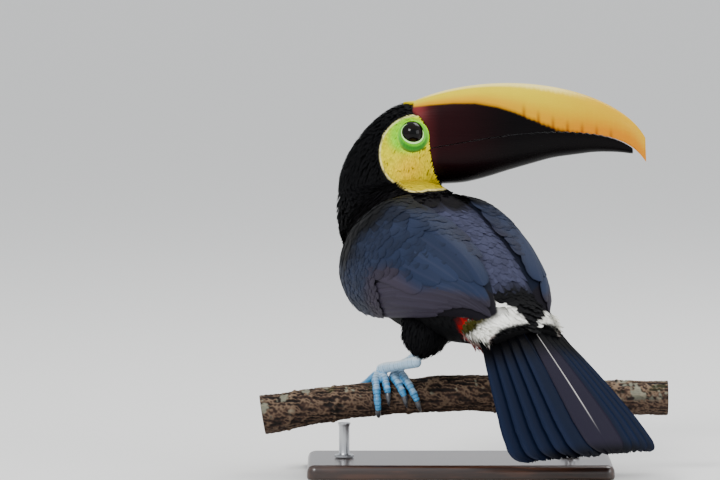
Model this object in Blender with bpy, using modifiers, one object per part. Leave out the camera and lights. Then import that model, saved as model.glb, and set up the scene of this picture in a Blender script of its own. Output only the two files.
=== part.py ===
"""A still, life-size model of a yellow-throated toucan that grips a cut branch, held up by a display stand.

Metres, +Z up. The origin is the middle of the underside of the stand's base. The branch runs along X. The
bird faces away from -Y and 40 degrees to its left, and looks back over its right shoulder, along +X.
"""

import math

import bmesh
import bpy
import numpy as np

MM = 0.001
GAP = 0.5  # clearance between neighbouring solids, in millimetres like every size below

# Places are in millimetres from the branch's axis over the middle of the base.
BRANCH_Z = 57  # that axis above the floor
TRUNK_AT, TRUNK_HEADING, TRUNK_PITCH = (-12, 2, 97), 40, 26  # heading left of +Y, pitch above level
HEAD_AT, HEAD_HEADING, HEAD_PITCH = (-49, 60, 186), -90, 0
TAIL_HEADING, TAIL_PITCH = 38, 42.5

# Distance along the trunk: lift of its middle, half width, height above and depth below.
TRUNK = {
    -106: (0, 34, 8, 8),
    -88: (0, 39, 19, 16),
    -60: (0, 47, 36, 30),
    -20: (0, 53, 47, 47),
    20: (0, 54, 50, 55),
    52: (3, 50, 47, 53),
}
# Place, direction of the nape or crown, and half width, height and depth.
NECK = {
    "collar": ((-58, 56, 150), (-0.45, -0.80, 0.10), (37, 35, 36)),
    "nape": ((-57.5, 59, 173), (-0.85, -0.25, 0.50), (30, 29.5, 30)),
    "crown": ((-48, 60, 185), (-0.60, 0, 0.80), (28, 30.5, 30)),
}
HEAD_RINGS, HEAD_CURL = 9, 1.0  # the head's rings, and how far they arch over
CHEEKS = 0.36, 0.04  # fullness added to the left and the right, which the turned neck leaves uneven
SPINE_RINGS, SPINE_SIDES = 32, 22
COVERTS_END, TRUNK_END, NECK_END = 3, 19, 27  # the rings where the body is parted

BILL_LENGTH = 167  # corner of the mouth to the tip
BILL_AT = (-22.8, 60, 187.8)
BILL_HALF_WIDTH, BILL_SEAT = 20, 4  # the seat is how far its end, and the head's, are hollowed
EYE_AT, EYE_RADIUS = (12.8, 20, 13.3), 8.2  # forward, out and up in the head's own axes
RING_RADIUS, RING_THICKNESS, RING_OUT, RING_TURN = 10.4, 2.0, 7, 12  # the ring faces a little forward

TAIL_LENGTH, TAIL_FEATHERS, TAIL_HALF_WIDTH = 114, 10, 70
FEATHER_HALF_WIDTH, FEATHER_THICKNESS = 18, 0.6

# Distance along the trunk: angles of the upper and lower edge from the back, thickness, and lower flare.
WING = {
    62: (66, 104, 3, 0),
    54: (44, 134, 10, 5),
    36: (30, 146, 16, 10),
    -8: (20, 128, 15, 4),
    -45: (18, 110, 12, 1),
    -72: (22, 88, 9, 0),
    -91: (31, 62, 2.5, 0),
}

TARSUS_RADIUS, TOE_RADIUS, CLAW_RADIUS = 3.8, 3.1, 1.8
PAD_SIZE = 5.5, 2.2, 4.4  # half length, height and width of the sole

# Distance along X: height and radius of the branch.
BRANCH = {
    -150: (-13, 15.5),
    -110: (-6.5, 13.8),
    -61: (-1, 13.2),
    0: (3.5, 14.3),
    50: (2, 14),
    110: (0, 13.6),
    158: (0, 13.6),
}
BASE_SIZE, BASE_ROUND = (232, 116, 11), 5
ROD_RADIUS, ROD_PLACES = 4, (-88, 84)


# ---------------------------------------------------------------- frames and curves


def unit(vector):
    vector = np.asarray(vector, float)
    return vector / np.linalg.norm(vector)


def axes(heading, pitch):
    """Forward, left and up unit vectors, as rows."""
    h, p = math.radians(heading), math.radians(pitch)
    forward = np.array([-math.sin(h) * math.cos(p), math.cos(h) * math.cos(p), math.sin(p)])
    left = np.array([-math.cos(h), -math.sin(h), 0])
    return np.array([forward, left, np.cross(forward, left)])


BODY = axes(TRUNK_HEADING, TRUNK_PITCH)
HEAD = axes(HEAD_HEADING, HEAD_PITCH)
TAIL = axes(TAIL_HEADING, TAIL_PITCH)  # forward points up the tail, to the rump


def in_body(forward, left, up):
    return np.array(TRUNK_AT) + np.array([forward, left, up]) @ BODY


def in_head(forward, left, up):
    return np.array(HEAD_AT) + np.array([forward, left, up]) @ HEAD


def through(rows, count):
    """Rows resampled at even steps along a smooth curve that passes through each of them."""
    rows = np.asarray(rows, float)
    steps = np.linalg.norm(np.diff(rows[:, :3], axis=0), axis=1)
    knots = np.concatenate([[0], np.cumsum(steps)])
    slopes = np.gradient(rows, knots, axis=0)
    at = np.linspace(0, knots[-1], count)
    i = np.clip(np.searchsorted(knots, at, side="right") - 1, 0, len(rows) - 2)
    span = (knots[i + 1] - knots[i])[:, None]
    t = (at - knots[i])[:, None] / span
    start = (2 * t**3 - 3 * t**2 + 1) * rows[i] + (t**3 - 2 * t**2 + t) * span * slopes[i]
    return start + (3 * t**2 - 2 * t**3) * rows[i + 1] + (t**3 - t**2) * span * slopes[i + 1]


def ring(place, left, up, sizes, sides):
    """A closed oval of points, from the left over the top. Sizes are half width, height and depth."""
    angle = np.linspace(0, 2 * math.pi, sides, endpoint=False)
    across = np.cos(angle) * sizes[0]
    rise = np.sin(angle) * np.where(np.sin(angle) > 0, sizes[1], sizes[2])
    return place + across[:, None] * left + rise[:, None] * up


def tube_frames(rows, count):
    """Places, left and up directions and sizes, square to a smooth path."""
    fine = through(rows, count)
    ways = np.gradient(fine[:, :3], axis=0)
    ways /= np.linalg.norm(ways, axis=1)[:, None]
    lefts = np.cross(fine[:, 3:6], ways)
    lefts /= np.linalg.norm(lefts, axis=1)[:, None]
    return fine[:, :3], lefts, np.cross(ways, lefts), fine[:, 6:9]


def tube(rows, count, sides, grow=0.0):
    """Ovals along a path. Each row is a place, an up direction, and a half width, height and depth."""
    return [ring(p, left, up, size + grow, sides) for p, left, up, size in zip(*tube_frames(rows, count))]


def round_rows(rows, up):
    """Tube rows of round section from x, y, z and radius."""
    return [(x, y, z, *up, r, r, r) for x, y, z, r in rows]


def table(rows, x):
    """The columns of a table keyed by distance, read at a distance."""
    keys = sorted(rows)
    return [float(np.interp(x, keys, [rows[k][n] for k in keys])) for n in range(len(rows[keys[0]]))]


# ---------------------------------------------------------------- meshes, materials and cuts


def material(name, colour, roughness, metallic=0.0):
    found = bpy.data.materials.get(name)
    if found:
        return found
    made = bpy.data.materials.new(name)
    made.use_nodes = True
    shader = made.node_tree.nodes["Principled BSDF"]
    shader.inputs["Base Color"].default_value = (*colour, 1)
    shader.inputs["Roughness"].default_value = roughness
    shader.inputs["Metallic"].default_value = metallic
    made.diffuse_color = (*colour, 1)
    return made


def black_plumage():
    return material("black_plumage", (0.010, 0.010, 0.013), 0.6)


def collection(name):
    found = bpy.data.collections.get(name)
    if not found:
        found = bpy.data.collections.new(name)
        bpy.context.scene.collection.children.link(found)
    return found


def move_to(made, group, finish):
    """Puts an object in its collection, gives it its finish and smooth shading."""
    for old in list(made.users_collection):
        old.objects.unlink(made)
    collection(group).objects.link(made)
    made.data.shade_smooth()
    made.data.set_sharp_from_angle(angle=math.radians(50))
    if finish:
        made.data.materials.append(finish)
    return made


def add_mesh(name, points, faces, finish, group="toucan"):
    mesh = bpy.data.meshes.new(name)
    places = (np.asarray(points, float) + [0, 0, BRANCH_Z]) * MM
    mesh.from_pydata(places.tolist(), [], faces)
    work = bmesh.new()
    work.from_mesh(mesh)
    bmesh.ops.remove_doubles(work, verts=work.verts, dist=1e-6)
    bmesh.ops.recalc_face_normals(work, faces=work.faces)
    work.to_mesh(mesh)
    work.free()
    made = bpy.data.objects.new(name, mesh)
    return move_to(made, group, finish)


def loft(name, rings, finish, group="toucan", dish=0.0, nose=None):
    """A closed solid through rings of equal length, with a fan at each end.

    The fans' middles are moved: the first along X by dish, and the last to the nose. Every side is split along
    the same diagonal, so that a solid and the cutter that clears it stay parallel.
    """
    sides, count = len(rings[0]), len(rings)
    points = [p for one in rings for p in one]
    points += [np.mean(rings[0], axis=0) + [dish, 0, 0], np.mean(rings[-1], axis=0) if nose is None else nose]
    faces = []
    for row in range(count - 1):
        for side in range(sides):
            after = (side + 1) % sides
            low, high = row * sides, (row + 1) * sides
            faces.append((low + side, low + after, high + after))
            faces.append((low + side, high + after, high + side))
    first, last, end = count * sides, count * sides + 1, (count - 1) * sides
    for side in range(sides):
        after = (side + 1) % sides
        faces.append((first, after, side))
        faces.append((last, end + side, end + after))
    return add_mesh(name, points, faces, finish, group)


def as_cutter(made):
    made.hide_render = True
    made.display_type = "WIRE"
    return made


def cut(solid, *tools):
    """Takes each tool away from the solid with an exact Boolean."""
    for tool in tools:
        change = solid.modifiers.new("cut_" + tool.name, "BOOLEAN")
        change.operation = "DIFFERENCE"
        change.solver = "EXACT"
        change.object = tool
    return solid


def ball(name, place, radius, finish, group="toucan", segments=14):
    spot = (np.asarray(place) + [0, 0, BRANCH_Z]) * MM
    bpy.ops.mesh.primitive_uv_sphere_add(
        segments=segments, ring_count=segments * 5 // 7, radius=radius * MM, location=spot
    )
    made = bpy.context.object
    made.name = name
    made.rotation_euler = (math.pi / 2, 0, 0)
    return move_to(made, group, finish)


def hoop(name, place, radius, thickness, turn, finish, group="toucan"):
    """A torus that faces along Y, then turned about Z."""
    spot = (np.asarray(place) + [0, 0, BRANCH_Z]) * MM
    bpy.ops.mesh.primitive_torus_add(
        location=spot,
        rotation=(math.pi / 2, 0, math.radians(turn)),
        major_segments=20,
        minor_segments=6,
        major_radius=radius * MM,
        minor_radius=thickness * MM,
    )
    made = bpy.context.object
    made.name = name
    return move_to(made, group, finish)


# ---------------------------------------------------------------- trunk, neck and head


def spine_rows():
    """Tail root to crown, as rows for a tube."""
    rows = []
    for along, (lift, *sizes) in TRUNK.items():
        up = TAIL[2] * 0.6 + BODY[2] * 0.4 if along < -80 else BODY[2]
        rows.append((*in_body(along, 0, lift), *up, *sizes))
    rows += [(*place, *up, *sizes) for place, up, sizes in NECK.values()]
    return rows


SPINE = tube_frames(spine_rows(), 240)
SPINE_ALONG = (SPINE[0] - TRUNK_AT) @ BODY[0]  # each place's distance along the trunk
NAPE_WAY = unit((-0.05, 0.09, 1))  # the way the neck points where the head begins


def on_body(along, angle, grow):
    """The point at a distance along the trunk, at an angle from the back to the left, outside the surface."""
    reach = int(np.argmax(SPINE_ALONG > 75)) or len(SPINE_ALONG)
    at = np.interp(along, SPINE_ALONG[:reach], np.arange(reach))
    place, left, up, sizes = ([np.interp(at, np.arange(len(c)), c[:, n]) for n in range(3)] for c in SPINE)
    tall = (sizes[1] if math.cos(angle) > 0 else sizes[2]) + grow
    side, rise = math.sin(angle) * (sizes[0] + grow), math.cos(angle) * tall
    return np.array(place) + side * np.array(left) + rise * np.array(up)


def parted(rings, first, last):
    """The rings of one length. Its first ring starts a gap after the length before it ends."""
    part = list(rings[first : last + 1])
    if first:
        way = unit(np.mean(rings[first + 1], axis=0) - np.mean(rings[first], axis=0))
        part[0] = part[0] + way * GAP
    return part


def head_rings(nape):
    """Rings from the top of the neck to the slanted edge of the bill, each point on its own smooth curve."""
    edge = bill_ring(0, SPINE_SIDES) - HEAD[0] * GAP
    reach = np.linalg.norm(edge - nape, axis=1)[:, None]
    pull = reach**2 / reach.max() * HEAD_CURL
    rings = []
    for t in np.linspace(0, 1, HEAD_RINGS):
        start = (2 * t**3 - 3 * t**2 + 1) * nape + (t**3 - 2 * t**2 + t) * pull * NAPE_WAY
        made = start + (3 * t**2 - 2 * t**3) * edge + (t**3 - t**2) * pull * HEAD[0]
        aside = (made - np.mean(made, axis=0)) @ HEAD[1]
        aside *= np.where(aside > 0, *CHEEKS) * math.sin(math.pi * t)
        rings.append(made + aside[:, None] * HEAD[1])
    return rings


def build_body():
    rings = tube(spine_rows(), SPINE_RINGS, SPINE_SIDES)
    half = SPINE_SIDES // 2
    upper = [one[: half + 1].copy() for one in parted(rings, 0, COVERTS_END)]
    lower = [np.vstack([one[half:], one[:1]]) for one in parted(rings, 0, COVERTS_END)]
    for one in upper:
        one[[0, -1]] += BODY[2] * GAP
    white = material("white_plumage", (0.86, 0.85, 0.78), 0.7)
    red = material("red_plumage", (0.50, 0.015, 0.010), 0.6)
    loft("uppertail_coverts", upper, white)
    loft("undertail_coverts", lower, red)
    loft("trunk", parted(rings, COVERTS_END, TRUNK_END), black_plumage())
    loft("neck", parted(rings, TRUNK_END, NECK_END), black_plumage())
    face = head_rings(rings[NECK_END] + NAPE_WAY * GAP)
    return loft("head", face, black_plumage(), nose=np.mean(face[-1], axis=0) - HEAD[0] * BILL_SEAT)


def build_eyes(head_part):
    forward, out, up = EYE_AT
    brown = material("eye_brown", (0.012, 0.010, 0.010), 0.05)
    green = material("green_skin", (0.28, 0.66, 0.06), 0.5)
    for name, side in (("left", 1), ("right", -1)):
        eye = in_head(forward, side * out, up)
        rim = in_head(forward, side * (out + RING_OUT), up)
        turn = -side * RING_TURN
        ball("eye_" + name, eye, EYE_RADIUS, brown)
        hoop("orbital_ring_" + name, rim, RING_RADIUS, RING_THICKNESS, turn, green)
        socket = as_cutter(ball("socket_" + name, eye, EYE_RADIUS + GAP, None, "cutters"))
        groove = hoop("groove_" + name, rim, RING_RADIUS, RING_THICKNESS + GAP, turn, None, "cutters")
        cut(head_part, socket, as_cutter(groove))


# ---------------------------------------------------------------- bill

# Heights of the lower ridge behind the tip, by distance from the corner of the mouth.
GONYS = {
    0: (-28.5,),
    27: (-27,),
    44: (-22.8,),
    61: (-17.3,),
    95: (-7.6,),
    128: (-3.2,),
    146: (-3.4,),
    158: (-5,),
}


def culmen(x):
    """Height of the upper ridge: the top of an ellipse."""
    share = np.clip((x - 60) / 110, -1, 1)
    return 57 * math.sqrt(1 - share**2) - 8


def tomium(x):
    """Height of the line where the two halves close: a low arch that hooks down at the tip."""
    share = np.clip(x / BILL_LENGTH, 0, 1)
    return 30 * share * (1 - share**2.2) - 12 * share**16


def gonys(x):
    return table(GONYS, x)[0]


def base_edge(z):
    """How far forward the feathers reach onto the bill at a height."""
    return 1 - 12.6 * np.clip(z / 31, 0, 1) ** 2.5 + 8.3 * np.clip(-z / 27.4, 0, 1.2) ** 1.6


def bill_point(share, angle, length, lift=0.0):
    """A point of the bill, share of the way to its tip, at an angle from the left over the top."""
    ridge = culmen if math.sin(angle) > 0 else gonys
    q = abs(math.sin(angle)) ** 0.8
    start = base_edge(tomium(0) + (ridge(0) - tomium(0)) * q)
    x = start + (length - start) * share
    z = tomium(x) + (ridge(x) - tomium(x)) * q + lift
    closing = np.clip(x / BILL_LENGTH, 0, 1)
    wide = BILL_HALF_WIDTH * (1 - 0.45 * closing) * math.sqrt(1 - closing**3)
    return np.array(BILL_AT) + np.array([x, math.cos(angle) * wide, z]) @ HEAD


def bill_ring(share, sides):
    angles = np.linspace(0, 2 * math.pi, sides, endpoint=False)
    return np.array([bill_point(share, angle, BILL_LENGTH) for angle in angles])


def build_bill():
    yellow = material("yellow_bill", (0.92, 0.55, 0.02), 0.3)
    dark = material("dark_bill", (0.03, 0.006, 0.006), 0.3)
    halves = (
        ("bill_upper", (0, math.pi), BILL_LENGTH, 0.35, -12, yellow),
        ("bill_lower", (math.pi, 2 * math.pi), 157, -0.35, -3.5, dark),
    )
    for name, (start, stop), length, lift, tip, finish in halves:
        rings = []
        for share in (1 - (1 - np.linspace(0, 1, 14)) ** 1.5) * 0.99:
            angles = np.linspace(start, stop, SPINE_SIDES // 2 + 1)
            rings.append(np.array([bill_point(share, angle, length, lift) for angle in angles]))
        nose = np.array(BILL_AT) + np.array([length, 0, tip + lift]) @ HEAD
        loft(name, rings, finish, dish=BILL_SEAT, nose=nose)


# ---------------------------------------------------------------- tail and wings


def build_tail():
    finish = material("tail_plumage", (0.014, 0.020, 0.048), 0.45)
    half = TAIL_FEATHERS // 2
    root = SPINE[0][0] - TAIL[0] * 4 - TAIL[1] * 2
    for number in range(TAIL_FEATHERS):
        side = -1 if number < half else 1  # right, then left
        rank = number % half
        layer = 4 - 1.8 * rank - (0.9 if side > 0 else 0)
        name = f"tail_{'right' if side < 0 else 'left'}_{rank + 1}"
        loft(name, tail_feather(root, side, rank, layer), finish)


def tail_feather(root, side, rank, layer):
    """Lens-shaped sections along one tail feather. Every feather drops away from the middle line alike."""
    swing = math.radians(side * (1.5 + 2.2 * rank))
    start, length = side * (5.5 + 7.4 * rank), TAIL_LENGTH - 2 * rank
    rings = []
    for share in np.linspace(0, 1, 8) ** 0.8:
        wide = FEATHER_HALF_WIDTH * (0.42 + 0.58 * min(1, share / 0.7) ** 0.8)
        wide *= math.sqrt(max(0.03, 1 - max(0, (share - 0.84) / 0.165) ** 2.4))
        back = length * share * math.cos(swing)
        middle = start + length * share * math.sin(swing)
        points = []
        for angle in np.linspace(0, 2 * math.pi, 8, endpoint=False):
            across = middle + wide * math.cos(angle)
            drop = 8 * (across / TAIL_HALF_WIDTH) ** 2 + 4 * share**2
            up = layer + FEATHER_THICKNESS / 2 * math.sin(angle) - drop
            points.append(root + np.array([-back, across, up]) @ TAIL)
        rings.append(np.array(points))
    return rings


def wing_ring(along, side):
    """A section of the folded wing: its outer face from the upper edge to the lower, then its inner face."""
    top, low, depth, flare = table(WING, along)
    outer, inner = [], []
    for edge in np.linspace(0, 1, 7):
        angle = math.radians(top + (low - top) * edge) * side
        bulge = depth * (0.2 + 0.8 * math.sqrt(max(0, 1 - (2 * edge - 1) ** 2)))
        outer.append(on_body(along, angle, bulge * (1 - 0.35 * edge) + flare * edge**5 + 0.8))
        inner.append(on_body(along, angle, -4))
    return np.array(outer + inner[::-1])


def build_wings(tool):
    slate = material("slate_plumage", (0.030, 0.036, 0.060), 0.5)
    for name, side in (("left", 1), ("right", -1)):
        rings = [wing_ring(along, side) for along in np.linspace(max(WING), min(WING), 13)]
        cut(loft("wing_" + name, rings, slate), tool)


# ---------------------------------------------------------------- legs and feet

THIGHS = {
    "left": [(-25, -20, 66, 19), (-27, -28, 53, 18), (-29, -33, 43, 15), (-30.5, -36, 37, 7.5)],
    "right": [(0, 9, 62, 15), (-13, 2, 51, 10), (-22, -3, 45, 8), (-26, -6, 41, 5.5)],
}
TARSI = {"left": ((-32, -38, 31), (-61, 0, 21.5)), "right": ((-29, -8, 35), (-48, 1, 22))}
FEET = {"left": -61, "right": -47.5}  # along X
# Toe: where it starts and ends along X, where it starts and ends round the branch (0 is the top, 90 is -Y).
TOES = {
    "left": {
        "1": (-57, -54.5, 32, 74),
        "2": (-60, -70, -30, -104),
        "3": (-67, -90, -28, -112),
        "4": (-64, -62, 32, 118),
    },
    "right": {
        "1": (-49, -42, 32, 84),
        "2": (-51, -59, -32, -104),
        "3": (-44, -50, -32, -112),
        "4": (-42, -32, 32, 100),
    },
}


def round_branch(x, degrees, clear):
    """A point beside the branch, clear of its bark."""
    height, radius = table(BRANCH, x)
    turn = math.radians(degrees)
    return x, -math.sin(turn) * (radius + clear), height + math.cos(turn) * (radius + clear)


def toe_rows(x0, x1, start, stop, thick, ends):
    rows = []
    for share in np.linspace(0, 1, 6):
        radius = thick * (ends[0] + (ends[1] - ends[0]) * share)
        x, degrees = x0 + (x1 - x0) * share, start + (stop - start) * share
        rows.append((*round_branch(x, degrees, radius + 1.5 * GAP), 1, 0, 0, radius, radius, radius))
    return rows


def build_legs(tool):
    blue = material("blue_scales", (0.26, 0.52, 0.68), 0.5)
    horn = material("claw_horn", (0.05, 0.05, 0.055), 0.4)
    for name, rows in THIGHS.items():
        cut(loft("thigh_" + name, tube(round_rows(rows, (0.3, 1, 0.2)), 7, 12), black_plumage()), tool)
        heel, foot = (np.array(p, float) for p in TARSI[name])
        way = unit(foot - heel)
        shank = [(*(heel + way * 2), 4.3), (*(heel * 0.5 + foot * 0.5), TARSUS_RADIUS), (*foot, 4)]
        loft("tarsus_" + name, tube(round_rows(shank, (0.3, 1, 0.4)), 5, 8), blue)
        pad = ball("foot_" + name, round_branch(FEET[name], 0, PAD_SIZE[1] + GAP), 1, blue, segments=10)
        pad.scale = PAD_SIZE
        for toe, (x0, x1, start, stop) in TOES[name].items():
            loft(f"toe_{name}_{toe}", tube(toe_rows(x0, x1, start, stop, TOE_RADIUS, (1, 0.8)), 7, 8), blue)
            reach = math.copysign(30, stop)
            ends = (x1 + (x1 - x0) * 0.12, stop + math.copysign(7, stop))
            curl = ends[0] + (x1 - x0) * 0.15
            claw = toe_rows(ends[0], curl, ends[1], ends[1] + reach, CLAW_RADIUS, (1, 0.25))
            loft(f"claw_{name}_{toe}", tube(claw, 5, 6), horn)


# ---------------------------------------------------------------- branch and stand


def build_branch():
    bark = material("bark", (0.16, 0.10, 0.065), 0.9)
    rows = [(x, 0, height, 0, 0, 1, radius, radius, radius) for x, (height, radius) in BRANCH.items()]
    loft("perch", tube(rows, 16, 12), bark)


def build_stand():
    wood = material("stand_wood", (0.10, 0.045, 0.02), 0.4)
    steel = material("rod_steel", (0.55, 0.56, 0.58), 0.3, 1.0)
    bpy.ops.mesh.primitive_cube_add(size=1, location=(0, 0, BASE_SIZE[2] * MM / 2))
    base = bpy.context.object
    base.name = "stand_base"
    base.scale = [size * MM for size in BASE_SIZE]
    bpy.ops.object.transform_apply(location=False, rotation=False, scale=True)
    bevel = base.modifiers.new("soft_edges", "BEVEL")
    bevel.width = BASE_ROUND * MM
    bevel.segments = 2
    move_to(base, "toucan", wood)
    for number, x in enumerate(ROD_PLACES, 1):
        height, radius = table(BRANCH, x)
        low, high = BASE_SIZE[2] + GAP, BRANCH_Z + height - radius - 1.5
        middle = (x * MM, 0, (low + high) / 2 * MM)
        bpy.ops.mesh.primitive_cylinder_add(
            vertices=16, radius=ROD_RADIUS * MM, depth=(high - low) * MM, location=middle
        )
        rod = bpy.context.object
        rod.name = f"stand_rod_{number}"
        move_to(rod, "toucan", steel)


def main():
    for old in list(bpy.data.objects):
        bpy.data.objects.remove(old)
    head_part = build_body()
    build_eyes(head_part)
    build_bill()
    around = tube(spine_rows(), SPINE_RINGS, SPINE_SIDES, GAP)[: NECK_END + 1]
    body_cutter = as_cutter(loft("body_cutter", around, None, "cutters"))
    build_tail()
    build_wings(body_cutter)
    build_legs(body_cutter)
    build_branch()
    build_stand()


main()
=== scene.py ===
import math

import bpy
import numpy as np
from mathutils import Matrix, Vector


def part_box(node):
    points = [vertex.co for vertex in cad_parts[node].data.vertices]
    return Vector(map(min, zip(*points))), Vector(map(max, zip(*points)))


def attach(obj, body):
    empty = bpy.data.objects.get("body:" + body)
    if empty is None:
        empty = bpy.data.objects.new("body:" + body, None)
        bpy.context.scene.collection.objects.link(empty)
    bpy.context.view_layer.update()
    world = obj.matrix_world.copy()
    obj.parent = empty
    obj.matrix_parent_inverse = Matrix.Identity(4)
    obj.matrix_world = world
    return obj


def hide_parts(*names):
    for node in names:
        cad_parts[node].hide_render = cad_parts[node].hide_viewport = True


# The looks of a still, life-size yellow-throated toucan on a cut branch, with a display stand.
# Lengths are in millimetres, and heights count from the branch's axis, as in the solids.

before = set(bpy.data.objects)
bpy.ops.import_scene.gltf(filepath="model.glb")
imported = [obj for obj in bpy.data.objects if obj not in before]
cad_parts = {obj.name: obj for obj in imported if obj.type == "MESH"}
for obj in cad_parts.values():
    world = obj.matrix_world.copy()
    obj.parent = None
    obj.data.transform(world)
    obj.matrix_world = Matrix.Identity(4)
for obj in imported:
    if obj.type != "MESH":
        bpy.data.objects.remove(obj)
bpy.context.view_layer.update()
print("frame:", len(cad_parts), "solids")

mm = 0.001
branchLift = 57  # the branch's axis above the floor


# Numbers, frames and curves


def unit(vectors):
    vectors = np.asarray(vectors, float)
    return vectors / np.maximum(np.linalg.norm(vectors, axis=-1, keepdims=True), 1e-12)


def smooth(low, high, value):
    # 0 below low, 1 above high, and 3t^2 - 2t^3 between them
    t = np.clip((np.asarray(value, float) - low) / (high - low), 0, 1)
    return t * t * (3 - 2 * t)


def bell(distance):
    return np.exp(-(distance**2))


def roundTurn(count):
    return np.linspace(0, 2 * math.pi, count, endpoint=False)


def axesOf(heading, pitch):
    # forward, left and up: heading is counted to the left of +Y, pitch above level
    h, p = math.radians(heading), math.radians(pitch)
    forward = np.array([-math.sin(h) * math.cos(p), math.cos(h) * math.cos(p), math.sin(p)])
    left = np.array([-math.cos(h), -math.sin(h), 0])
    return np.array([forward, left, np.cross(forward, left)])


def hermite(t, start, stop, startSlope, stopSlope):
    # the cubic from start to stop, at t from 0 to 1, that has the given slopes at its ends
    return ((2 * t**3 - 3 * t**2 + 1) * start + (t**3 - 2 * t**2 + t) * startSlope
            + (3 * t**2 - 2 * t**3) * stop + (t**3 - t**2) * stopSlope)


def through(rows, count):
    # even steps along a smooth curve that passes each row
    rows = np.asarray(rows, float)
    knots = np.concatenate([[0], np.cumsum(np.linalg.norm(np.diff(rows[:, :3], axis=0), axis=1))])
    slopes = np.gradient(rows, knots, axis=0)
    at = np.linspace(0, knots[-1], count)
    i = np.clip(np.searchsorted(knots, at, side="right") - 1, 0, len(rows) - 2)
    span = (knots[i + 1] - knots[i])[:, None]
    t = (at - knots[i])[:, None] / span
    return hermite(t, rows[i], rows[i + 1], span * slopes[i], span * slopes[i + 1])


def tubeFrames(rows, count):
    # places, lefts, ups and the other columns along a smooth path; each row is place, up, other columns
    fine = through(rows, count)
    ways = unit(np.gradient(fine[:, :3], axis=0))
    lefts = unit(np.cross(fine[:, 3:6], ways))
    return fine[:, :3], lefts, np.cross(ways, lefts), fine[:, 6:]


def ovalTube(rows, count, sides):
    # rings round a path: place + cos(a) * width * left + sin(a) * height or depth * up
    places, lefts, ups, sizes = tubeFrames(rows, count)
    angle = roundTurn(sides)
    tall = np.where(np.sin(angle) > 0, sizes[:, 1:2], sizes[:, 2:3]) * np.sin(angle)
    across = sizes[:, :1] * np.cos(angle)
    return places[:, None] + across[..., None] * lefts[:, None] + tall[..., None] * ups[:, None]


def ripple(points, size, seed, waves=14):
    # soft noise from -1 to 1: the mean of sines in many directions, whose length is about size
    rng = np.random.default_rng(seed)
    ways = unit(rng.normal(size=(waves, 3))) * rng.uniform(0.6, 1.5, (waves, 1)) * 2 * math.pi / size
    return np.sin(np.asarray(points) @ ways.T + rng.uniform(0, 7, waves)).sum(-1) / math.sqrt(waves * 2)


def splineWeights(count, times, closed):
    # Catmull-Rom weights that carry a row of points to times as many steps
    steps = count * times if closed else (count - 1) * times + 1
    at = np.arange(steps) / times
    i = np.floor(at).astype(int) if closed else np.minimum(np.floor(at).astype(int), count - 2)
    t = at - i
    parts = (-t + 2 * t**2 - t**3, 2 - 5 * t**2 + 3 * t**3, t + 4 * t**2 - 3 * t**3, t**3 - t**2)
    weights = np.zeros((steps, count))
    for shift, part in zip((-1, 0, 1, 2), parts):
        j = (i + shift) % count if closed else np.clip(i + shift, 0, count - 1)
        np.add.at(weights, (np.arange(steps), j), part / 2)
    return weights


# Surfaces: a fine grid of points with its normals, on which feathers are laid


def makeSurface(rings, closed, rowTimes, colTimes, outwardFrom=None, reshape=None):
    rows = splineWeights(rings.shape[0], rowTimes, False)
    cols = splineWeights(rings.shape[1], colTimes, closed)
    points = np.einsum("ar,rcx,bc->abx", rows, rings, cols)
    points = reshape(points) if reshape else points
    wide = np.concatenate([points[:, -1:], points, points[:, :1]], axis=1) if closed else points
    alongRow = np.gradient(points, axis=0)
    alongCol = np.gradient(wide, axis=1)[:, 1:-1] if closed else np.gradient(points, axis=1)
    normals = unit(np.cross(alongRow, alongCol))
    middle = points.mean(axis=1, keepdims=True) if outwardFrom is None else np.asarray(outwardFrom, float)
    rowStep, colStep = (np.linalg.norm(way, axis=2) for way in (alongRow, alongCol))
    return {
        "points": points,
        "normals": normals if np.sum(normals * (points - middle)) > 0 else -normals,
        "closed": closed,
        "rowStep": np.maximum(rowStep, 0.05),
        "colStep": np.maximum(colStep, 0.05),
        "reach": np.cumsum(np.maximum(rowStep, 0.02), axis=0),
    }


def gridCells(surface, row, col):
    # the four grid corners round each place, with their shares; rows beyond the ends are drawn on straight
    rowCount, colCount = surface["rowStep"].shape
    i = np.clip(np.floor(row).astype(int), 0, rowCount - 2)
    t = (row - i)[..., None]
    if surface["closed"]:
        base = np.floor(col).astype(int)
        j, k = base % colCount, (base + 1) % colCount
        s = (col - base)[..., None]
    else:
        j = np.clip(np.floor(col).astype(int), 0, colCount - 2)
        k = j + 1
        s = (col - j)[..., None]
    return ((i, j, (1 - t) * (1 - s)), (i, k, (1 - t) * s), (i + 1, j, t * (1 - s)), (i + 1, k, t * s))


def onSurface(surface, row, col, rise=0.0):
    # a place on the surface: the cell's blended corners plus rise times the blended normal
    cells = gridCells(surface, row, col)
    place = sum(surface["points"][i, j] * share for i, j, share in cells)
    normal = unit(sum(surface["normals"][i, j] * share for i, j, share in cells))
    return place + np.asarray(rise)[..., None] * normal


def nearest(table, row, col):
    i = np.clip(np.round(row).astype(int), 0, table.shape[0] - 1)
    return table[i, np.round(col).astype(int) % table.shape[1]]


def advance(surface, row, col, distance):
    # the rows reached from each root by distances down its own column, measured along the surface
    reach = surface["reach"]
    steps = np.arange(len(reach))
    column = np.round(col).astype(int)
    column = column % reach.shape[1] if surface["closed"] else np.clip(column, 0, reach.shape[1] - 1)
    rows = np.empty_like(distance)
    for one in np.unique(column):
        mine, line = column == one, reach[:, one]
        target = np.interp(row[mine], steps, line)[:, None] + distance[mine]
        before = np.minimum(target - line[0], 0) / max(line[1] - line[0], 0.3)
        beyond = np.maximum(target - line[-1], 0) / max(line[-1] - line[-2], 0.3)
        rows[mine] = np.interp(target, line, steps) + before + beyond
    return rows


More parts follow.
